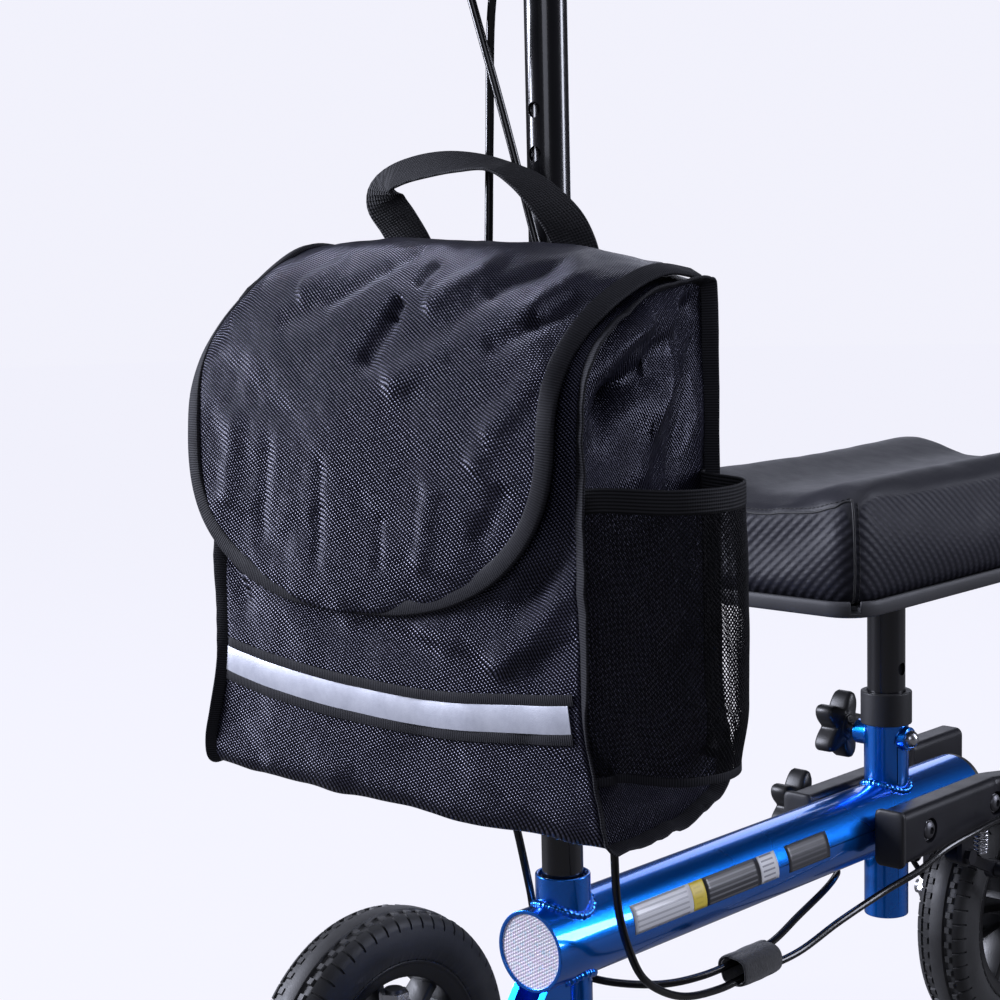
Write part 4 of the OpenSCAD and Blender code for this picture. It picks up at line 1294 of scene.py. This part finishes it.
tape("handle_strap", handle_path, 24, 2.2, handle_up, "webbing", "column",
     ["bag_handle"])

STRAP_LO, STRAP_HI = extent("bag_straps")
STRAP_R, STRAP_W = 17.1, 24              # round the column's sleeve
for index, z in enumerate((STRAP_LO.z + STRAP_W / 2, STRAP_HI.z - STRAP_W / 2)):
    turn = [Vector((BACK + 2, 9, z)), Vector((22, 12.4, z))]
    turn += [Vector((STRAP_R * cos(a), STRAP_R * sin(a), z)) for a in
             [radians(52 + (308 - 52) * k / 32) for k in range(33)]]
    turn += [Vector((22, -12.4, z)), Vector((BACK + 2, -9, z))]
    outward = [Vector((p.x - 8, p.y * 2.2, 0)).normalized() for p in turn]
    path = [p + Vector((0, 0, 0.6 * ripple((p.y, z, 0), 12))) for p in turn]
    tape(f"column_strap_{index + 1}", path, STRAP_W, 1.8, outward, "webbing", "column",
         ["bag_straps"])

# ------------------------------------------------------------- knee cushion

CUSHION_LO, CUSHION_HI = extent("knee_cushion")
TRAY_LO, TRAY_HI = extent("cushion_tray")
SEAT_MID = middle("knee_cushion")
HALF_L, HALF_W = (CUSHION_HI.x - CUSHION_LO.x) / 2, (CUSHION_HI.y - CUSHION_LO.y) / 2
CUSHION_TOP = CUSHION_HI.z
TROUGH = 13         # how far the middle of the top lies below its side ridges
PANEL_INSET = 9     # how far in from the sides the top panel's seam runs


def cushion_top(x, y):
    """Height of the upholstered top: two long ridges with a shallow channel between."""
    v = abs(y) / (HALF_W - 16)
    ridge = smoothstep((v - 0.12) / 0.83)
    dip = smoothstep((abs(x) / HALF_L - 0.72) / 0.28) * 4.5
    return CUSHION_TOP - 1.5 - TROUGH * (1 - ridge) - dip * (0.45 + 0.55 * ridge)


def rounded(half_l, half_w, corner, n):
    """An even walk round a rectangle with round corners."""
    raw = [Vector((a, b, 0)) for a, b in round_box(half_l, half_w, corner, 8)]
    raw.append(raw[0])
    lengths = running(raw)
    steps = [reached(lengths, lengths[-1] * k / n) for k in range(n)]
    return [raw[i - 1].lerp(raw[i], f) for i, f in steps]


def spine_x(x):
    """The nearest point of the cushion's middle line, counted from its centre."""
    return max(-HALF_L + HALF_W, min(HALF_L - HALF_W, x))


def cushion_form(shrink):
    """Closed form of the cushion, a little small so that the pressure can fill it."""
    low, brim = TRAY_LO.z + 6.5, CUSHION_TOP - 11

    def ring(half_l, half_w, height):
        return [Vector((SEAT_MID.x + p.x, p.y, height(p)))
                for p in rounded(half_l, half_w, 17, 180)]

    rings = []
    for t in [k / 16 for k in range(17)]:        # sides
        pull = -2.5 * sin(pi * t) + (3.5 * smoothstep((0.12 - t) / 0.12))
        rings.append(ring(HALF_L - shrink - pull - 1, HALF_W - shrink - pull - 1,
                          lambda p: lerp(low, brim, t)))
    for k in range(1, 10):                       # round edge
        inset = 10 * (1 - cos((pi / 2) * k / 9)) + 1

        def height(p):
            top = cushion_top(p.x, p.y)
            return lerp(brim, top, sin((pi / 2) * k / 9) if top > brim else smoothstep(k / 9))

        rings.append(ring(HALF_L - shrink - inset, HALF_W - shrink - inset, height))
    brow = [Vector((p.x - SEAT_MID.x, p.y, 0)) for p in rings[-1]]
    for k in range(1, 13):                       # top, in to the middle line
        flat = [q.lerp(Vector((spine_x(q.x), 0, 0)), k / 12) for q in brow]
        rings.append([Vector((SEAT_MID.x + q.x, q.y, cushion_top(q.x, q.y))) for q in flat])
    bottom = [rings[0]] + [
        [Vector((lerp(p.x, SEAT_MID.x + spine_x(p.x - SEAT_MID.x), k / 6), lerp(p.y, 0, k / 6),
                 low)) for p in rings[0]] for k in range(1, 7)]
    return Shape().grid(rings, close_u=True).grid(bottom[::-1], close_u=True)


def inflate(obj, cap, hold_z):
    """Fills a closed form like foam under its cover, and caps how far each point moves."""
    remesh = obj.modifiers.new("skin", "REMESH")
    remesh.mode = "VOXEL"
    remesh.voxel_size = 4.8 * MM
    apply_modifiers(obj)
    start = [v.co.copy() for v in obj.data.vertices]
    group = obj.vertex_groups.new(name="held")
    group.add([v.index for v in obj.data.vertices if v.co.z < hold_z], 1.0, "REPLACE")
    cloth = obj.modifiers.new("cloth", "CLOTH")
    cloth.settings.use_pressure = True
    cloth.settings.uniform_pressure_force = 4.0
    cloth.settings.vertex_group_mass = "held"
    cloth.settings.effector_weights.gravity = 0
    cloth.settings.quality = 5
    cloth.point_cache.frame_start, cloth.point_cache.frame_end = 1, 20
    for step in range(1, 21):
        scene.frame_set(step)
    apply_modifiers(obj)
    scene.frame_set(1)
    for v, was in zip(obj.data.vertices, start):
        move = v.co - was
        if move.length > cap:
            v.co = was + move.normalized() * cap
    obj.vertex_groups.clear()


cushion = piece("cushion_cover", cushion_form(4.0), MAT["vinyl"], None,
                ["knee_cushion"], angle=180)
inflate(cushion, 4.5 * MM, at(0, 0, TRAY_HI.z + 2).z)
cushion.data.shade_smooth()
smooth = cushion.modifiers.new("even", "CORRECTIVE_SMOOTH")
smooth.factor, smooth.iterations, smooth.use_only_smooth = 0.6, 6, True
sub = cushion.modifiers.new("smooth", "SUBSURF")
sub.levels = sub.render_levels = 1
apply_modifiers(cushion)
bm = bmesh.new()
bm.from_mesh(cushion.data)
COVER = BVHTree.FromBMesh(bm)
bm.free()
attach(cushion, "seat")


STITCH, SEW_GAP = 3.6, 3.2       # a stitch's pitch, and its distance from the seam


def on_cover(p, way):
    """The cover's surface and normal, reached along a direction through a point."""
    hit, normal = COVER.ray_cast(at(*(p - way * 60)), way)[:2]
    return (p, -way) if hit is None else ((hit - ORIGIN) / MM, normal)


def seam(name, points, way, side):
    """A dark line along a seam, which stands for the shade in the seam's groove (painted shade),
    and a row of stitches beside it, towards side.
    """
    path, out = zip(*[on_cover(p, way) for p in points])
    # painted shade: a dark tube along the seam stands in for the shade in its groove
    piece(f"{name}_groove_shade", Shape().tube(path, 0.85, 8), MAT["thread_dark"], "seat",
          angle=60)
    stitches = Shape()
    lengths = [v / MM for v in running(path)]
    for k in range(int(lengths[-1] / STITCH)):
        spots = []
        for f, rise in ((0.12, -0.1), (0.5, 0.45), (0.88, -0.1)):
            i, g = reached(lengths, (k + f) * STITCH)
            n = out[i]
            off = (side - n * side.dot(n)).normalized()
            q, m = on_cover(path[i - 1].lerp(path[i], g) + off * SEW_GAP, -n)
            spots.append(q + m * rise)
        stitches.tube(spots, 0.32, 6)
    piece(f"{name}_stitches", stitches, MAT["thread_dark"], "seat", angle=60)


for s in (1, -1):
    reach = HALF_W - PANEL_INSET - 6
    line = [Vector((SEAT_MID.x + s * (HALF_L - PANEL_INSET - 1 - 5 * smoothstep(
        (abs(y) / reach - 0.86) / 0.14)), y, CUSHION_TOP)) for y in
        [lerp(-reach, reach, k / 70) for k in range(71)]]
    seam(f"top_seam_{'front' if s > 0 else 'rear'}", line, Vector((0, 0, -1)),
         Vector((-s, 0, 0)))
    for t in (1, -1):
        corner = Vector((SEAT_MID.x + s * (HALF_L - 5.5), t * (HALF_W - 5.5), 0))
        line = [Vector((corner.x, corner.y, z)) for z in
                [lerp(TRAY_LO.z + 8, CUSHION_TOP - 8, k / 40) for k in range(41)]]
        seam(f"corner_seam_{'f' if s > 0 else 'r'}{'l' if t > 0 else 'r'}", line,
             Vector((-s, -t, 0)).normalized(), Vector((-s, t, 0)))


def tray():
    """Moulded tray with a rolled lip, notched under each corner seam."""
    rings = []
    hl, hw = (TRAY_HI.x - TRAY_LO.x) / 2, (TRAY_HI.y - TRAY_LO.y) / 2
    for inset, z, corner in ((30, 0.2, 10), (4.0, 0.0, 22), (1.2, 0.9, 25), (0.1, 3.0, 26),
                             (0.0, 8.0, 26), (0.2, 10.0, 26), (0.9, 11.0, 25.4),
                             (2.2, 11.2, 24), (3.2, 10.4, 23), (3.4, 6.2, 22.8),
                             (30, 6.2, 10)):
        rings.append([(SEAT_MID.x + a, b, TRAY_LO.z + z) for a, b in
                      round_box(hl - inset, hw - inset, corner, 8)])
    obj = piece("tray_shell", Shape().loft(rings), MAT["tray_plastic"], angle=40)
    notch = Shape()
    for s in (1, -1):
        for t in (1, -1):
            spin = Matrix.Translation((SEAT_MID.x + s * (hl - 7.5), t * (hw - 7.5), 0)) \
                @ Matrix.Rotation(radians(45) * s * t, 4, "Z")
            block = Shape().prism([(-14, TRAY_LO.z + 3.5), (14, TRAY_LO.z + 3.5),
                                   (14, TRAY_LO.z + 14), (-14, TRAY_LO.z + 14)], 3.4, -3.4)
            notch.merge(block.moved(spin))
    cut(obj, notch)
    shade(obj.data, 40)
    add_bevel(obj, 0.6, 2, 40)
    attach(obj, "seat")
    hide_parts("cushion_tray")


tray()

# ------------------------------------------------------------------- cables

# Routes of the two brake cables, from a lever's barrel to the rear stop
LEFT_ROUTE = [
    (28, -103, 690), (31, -88, 686), (34, -68, 668), (34, -48, 628), (34, -27, 565),
    (31, -4, 490), (27, 13, 425), (24, 27, 370), (24, 42, 300), (24, 52, 210), (22, 58, 120),
    (20, 58, 71), (8, 50, 33), (-8, 45, 0), (-28, 42, -26), (-66, 38, -47), (-110, 34, -56),
    (-150, 33, -56), (-196, 36, -54), (-240, 40, -43), (-287, 45, -33), (-320, 52, -25),
    (-350, 56, -15), (-385, 59, -10), (-419, 60, -8), (-434, 63, -15), (-444, 64, -26),
]
RIGHT_ROUTE = [
    (28, 103, 690), (31, 88, 687), (34, 66, 676), (34, 34, 652), (32, 4, 612),
    (28, -16, 564), (22, -26, 490), (22, -29, 423), (22, -33, 350), (23, -38, 290),
    (22, -40, 200), (12, -38, 110), (0, -35, 55), (-6, -33, 24), (-12, -33, 0),
    (-22, -26, -26), (-42, -8, -40), (-78, 10, -49), (-112, 21, -50), (-150, 26, -47),
    (-190, 20, -48), (-240, 6, -46), (-290, -6, -42), (-322, -18, -41), (-346, -34, -44),
    (-375, -48, -38), (-400, -58, -22), (-419, -60, -10), (-434, -63, -15), (-444, -64, -26),
]
CABLE_R = 2.5


def cable(name, node, route, cuts):
    """One brake cable in three lengths."""
    line = spline(route, 8)
    marks = [0] + [min(range(len(line)), key=lambda i: (line[i] - Vector(c)).length)
                   for c in cuts] + [len(line) - 1]
    stages = (("bar", "column", (0, 0, 650), (0, 0, 560)),
              ("column", "steering", (0, 0, 340), (0, 0, 190)),
              ("steering", "frame", (0, 0, 150), (0, 0, -20)))
    for k, (upper, lower, start, end) in enumerate(stages):
        part = line[marks[k]:marks[k + 1] + 1]
        obj = piece(f"{name}_{k + 1}", Shape().tube(part, CABLE_R, 14), MAT["cable_jacket"],
                    None, [node], angle=60)
        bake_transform(obj)
        at(*part[0])
        running(part)[-1]
        [at(*p) for p in part]


cable("cable_left", "brake_cable_left", LEFT_ROUTE, ((31, -4, 490), (24, 55, 165)))
cable("cable_right", "brake_cable_right", RIGHT_ROUTE, ((22, -26, 490), (17, -39, 165)))

# Ferrules where the jackets end at the rear stops
ends = Shape()
tip = Vector(LEFT_ROUTE[-1])
way = (tip - Vector(LEFT_ROUTE[-2])).normalized()
for s in (1, -1):
    for radius, a, b in ((3.4, -9, 1), (4.0, -1.2, 2.6)):
        ends.merge(Shape().tube([tip + way * a, tip + way * (a + b) / 2, tip + way * b],
                                radius, 20).side(s))
piece("rear_ferrules", ends, MAT["black_plastic"], "frame", bevel=0.5)


def wrap():
    """Hook-and-loop tie round both cables, with its free end lapped over."""
    lo, hi = extent("cable_wrap")
    mid = (lo + hi) / 2
    rings, steps = [], 66
    for i in range(15):
        x = lerp(lo.x + 1, hi.x - 1, i / 14)
        ring = []
        for k in range(steps):
            t = k / (steps - 1)
            a = radians(130) + tau * 1.17 * t
            r = 1 + 0.10 * smoothstep((t - 0.72) / 0.2)
            flat = (abs(cos(a)) ** 2.6 + abs(sin(a)) ** 2.6) ** (-1 / 2.6)
            pinch = 1 - 0.1 * (abs(i / 7 - 1)) ** 2 * (1 if t < 0.8 else 0)
            p = Vector((x, mid.y + 10.6 * r * flat * cos(a) * pinch,
                        mid.z + 9.8 * r * flat * sin(a) * pinch))
            p += Vector((0.7 * ripple(p, 14, 1), 0.5 * ripple(p, 10, 3),
                         0.5 * ripple(p, 10, 8)))
            ring.append(p)
        rings.append(ring)
    obj = piece("cable_tie", Shape().grid(rings), MAT["loop_cloth"], None,
                ["cable_wrap"], angle=180)
    add_thickness(obj, 1.5, 0)
    soft = obj.modifiers.new("smooth", "SUBSURF")
    soft.levels = soft.render_levels = 1
    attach(obj, "frame")


wrap()

# -------------------------------------------------------------------- grips

GRIP_LO, GRIP_HI = extent("grips")
BAR_Z = middle("grips").z
GRIP_R, BAR_R = (GRIP_HI.z - GRIP_LO.z) / 2, 11.1
grips = Shape()
for s in (1, -1):
    y0, y1 = 145, GRIP_HI.y              # inner and outer end of a grip
    profile = [(BAR_R + 0.05, y0), (GRIP_R - 1.6, y0), (GRIP_R - 0.4, y0 + 0.8),
               (GRIP_R, y0 + 2.4), (GRIP_R, y0 + 6), (GRIP_R - 1.3, y0 + 8)]
    for a in [lerp(y0 + 10, y1 - 14, k / 10) for k in range(11)]:        # ribs
        profile += [(GRIP_R - 1.7, a - 2.2), (GRIP_R - 0.7, a - 1.0), (GRIP_R - 0.5, a),
                    (GRIP_R - 0.7, a + 1.0), (GRIP_R - 1.7, a + 2.2)]
    profile += [(GRIP_R - 1.2, y1 - 8), (GRIP_R, y1 - 6), (GRIP_R, y1 - 2.2),
                (GRIP_R - 0.9, y1 - 0.6), (GRIP_R - 2.4, y1), (0.2, y1)]
    grips.merge(Shape().revolve(profile, (0, 0, BAR_Z)).side(s))
piece("foam_grips", grips, MAT["grip_foam"], "bar", ["grips"], angle=60)

# -------------------------------------------------------------------- stage


def camera():
    """The viewpoint of the reference view: 43 degrees off the nose, 7.5 degrees down."""
    data = bpy.data.cameras.new("camera")
    data.lens, data.sensor_width = 79.09, 36
    data.clip_start, data.clip_end = 0.05, 60
    cam = bpy.data.objects.new("camera", data)
    ways = Matrix(((-0.6769, 0.7356, -0.0230),       # right
                   (-0.1112, -0.0712, 0.9912),       # up
                   (0.7276, 0.6736, 0.1300)))        # back
    cam.matrix_world = Matrix.Translation(at(977.2, 859.6, 442.6)) @ ways.transposed().to_4x4()
    scene.collection.objects.link(cam)
    scene.camera = cam


def softbox(name, place, aim, width, height, power):
    data = bpy.data.lights.new(name, "AREA")
    data.shape, data.size, data.size_y = "RECTANGLE", width, height
    data.energy, data.color = power, (0.82, 0.85, 1.0)
    lamp = bpy.data.objects.new(name, data)
    lamp.location = place
    lamp.rotation_euler = (Vector(aim) - Vector(place)).to_track_quat("-Z", "Y").to_euler()
    scene.collection.objects.link(lamp)


def stage():
    pale = Finish("pale_floor", (0.024, 0.024, 0.026), 0.75, Emission_Strength=1.0)
    pale.bsdf.inputs["Emission Color"].default_value = (0.875, 0.875, 0.97, 1)
    pale.bsdf.inputs["Specular IOR Level"].default_value = 0.1
    pale.vary("Roughness", pale.noise(3), 0.7, 0.8)
    seen = pale.add("ShaderNodeLightPath").outputs["Is Camera Ray"]
    pale.link(pale.math("MULTIPLY_ADD", seen, 0.87, 0.13), pale.bsdf.inputs["Emission Strength"])
    mesh = bpy.data.meshes.new("floor")
    ring = [(9 * cos(tau * k / 96), 9 * sin(tau * k / 96), 0) for k in range(96)]
    mesh.from_pydata(ring, [], [list(range(96))])
    mesh.materials.append(pale.mat)
    floor = bpy.data.objects.new("floor", mesh)
    scene.collection.objects.link(floor)
    world = bpy.data.worlds.new("studio")
    scene.world = world
    world.use_nodes = True
    tree = world.node_tree
    base = tree.nodes["Background"]
    base.inputs["Color"].default_value = (0.8, 0.82, 0.95, 1)
    base.inputs["Strength"].default_value = 0.05
    seen = tree.nodes.new("ShaderNodeBackground")
    seen.inputs["Color"].default_value = (0.885, 0.885, 0.975, 1)
    seen.inputs["Strength"].default_value = 1.0
    mix = tree.nodes.new("ShaderNodeMixShader")
    path = tree.nodes.new("ShaderNodeLightPath")
    tree.links.new(path.outputs["Is Camera Ray"], mix.inputs[0])
    tree.links.new(base.outputs[0], mix.inputs[1])
    tree.links.new(seen.outputs[0], mix.inputs[2])
    tree.links.new(mix.outputs[0], tree.nodes["World Output"].inputs["Surface"])
    softbox("key", (1.4, -2.1, 1.2), (0.1, 0, 0.45), 0.8, 1.2, 120)
    softbox("side", (-1.5, 1.8, 1.3), (0, 0, 0.3), 0.6, 1.6, 42)
    softbox("top", (-0.1, 0.1, 2.6), (0, 0, 0.3), 2.4, 2.4, 18)
    softbox("rim", (-2.0, -1.2, 1.5), (0, 0, 0.5), 0.8, 1.8, 7)
    softbox("fill", (2.2, 1.3, 1.5), (0, 0, 0.5), 1.2, 1.6, 12)
    scene.view_settings.view_transform = "Standard"


camera()
stage()
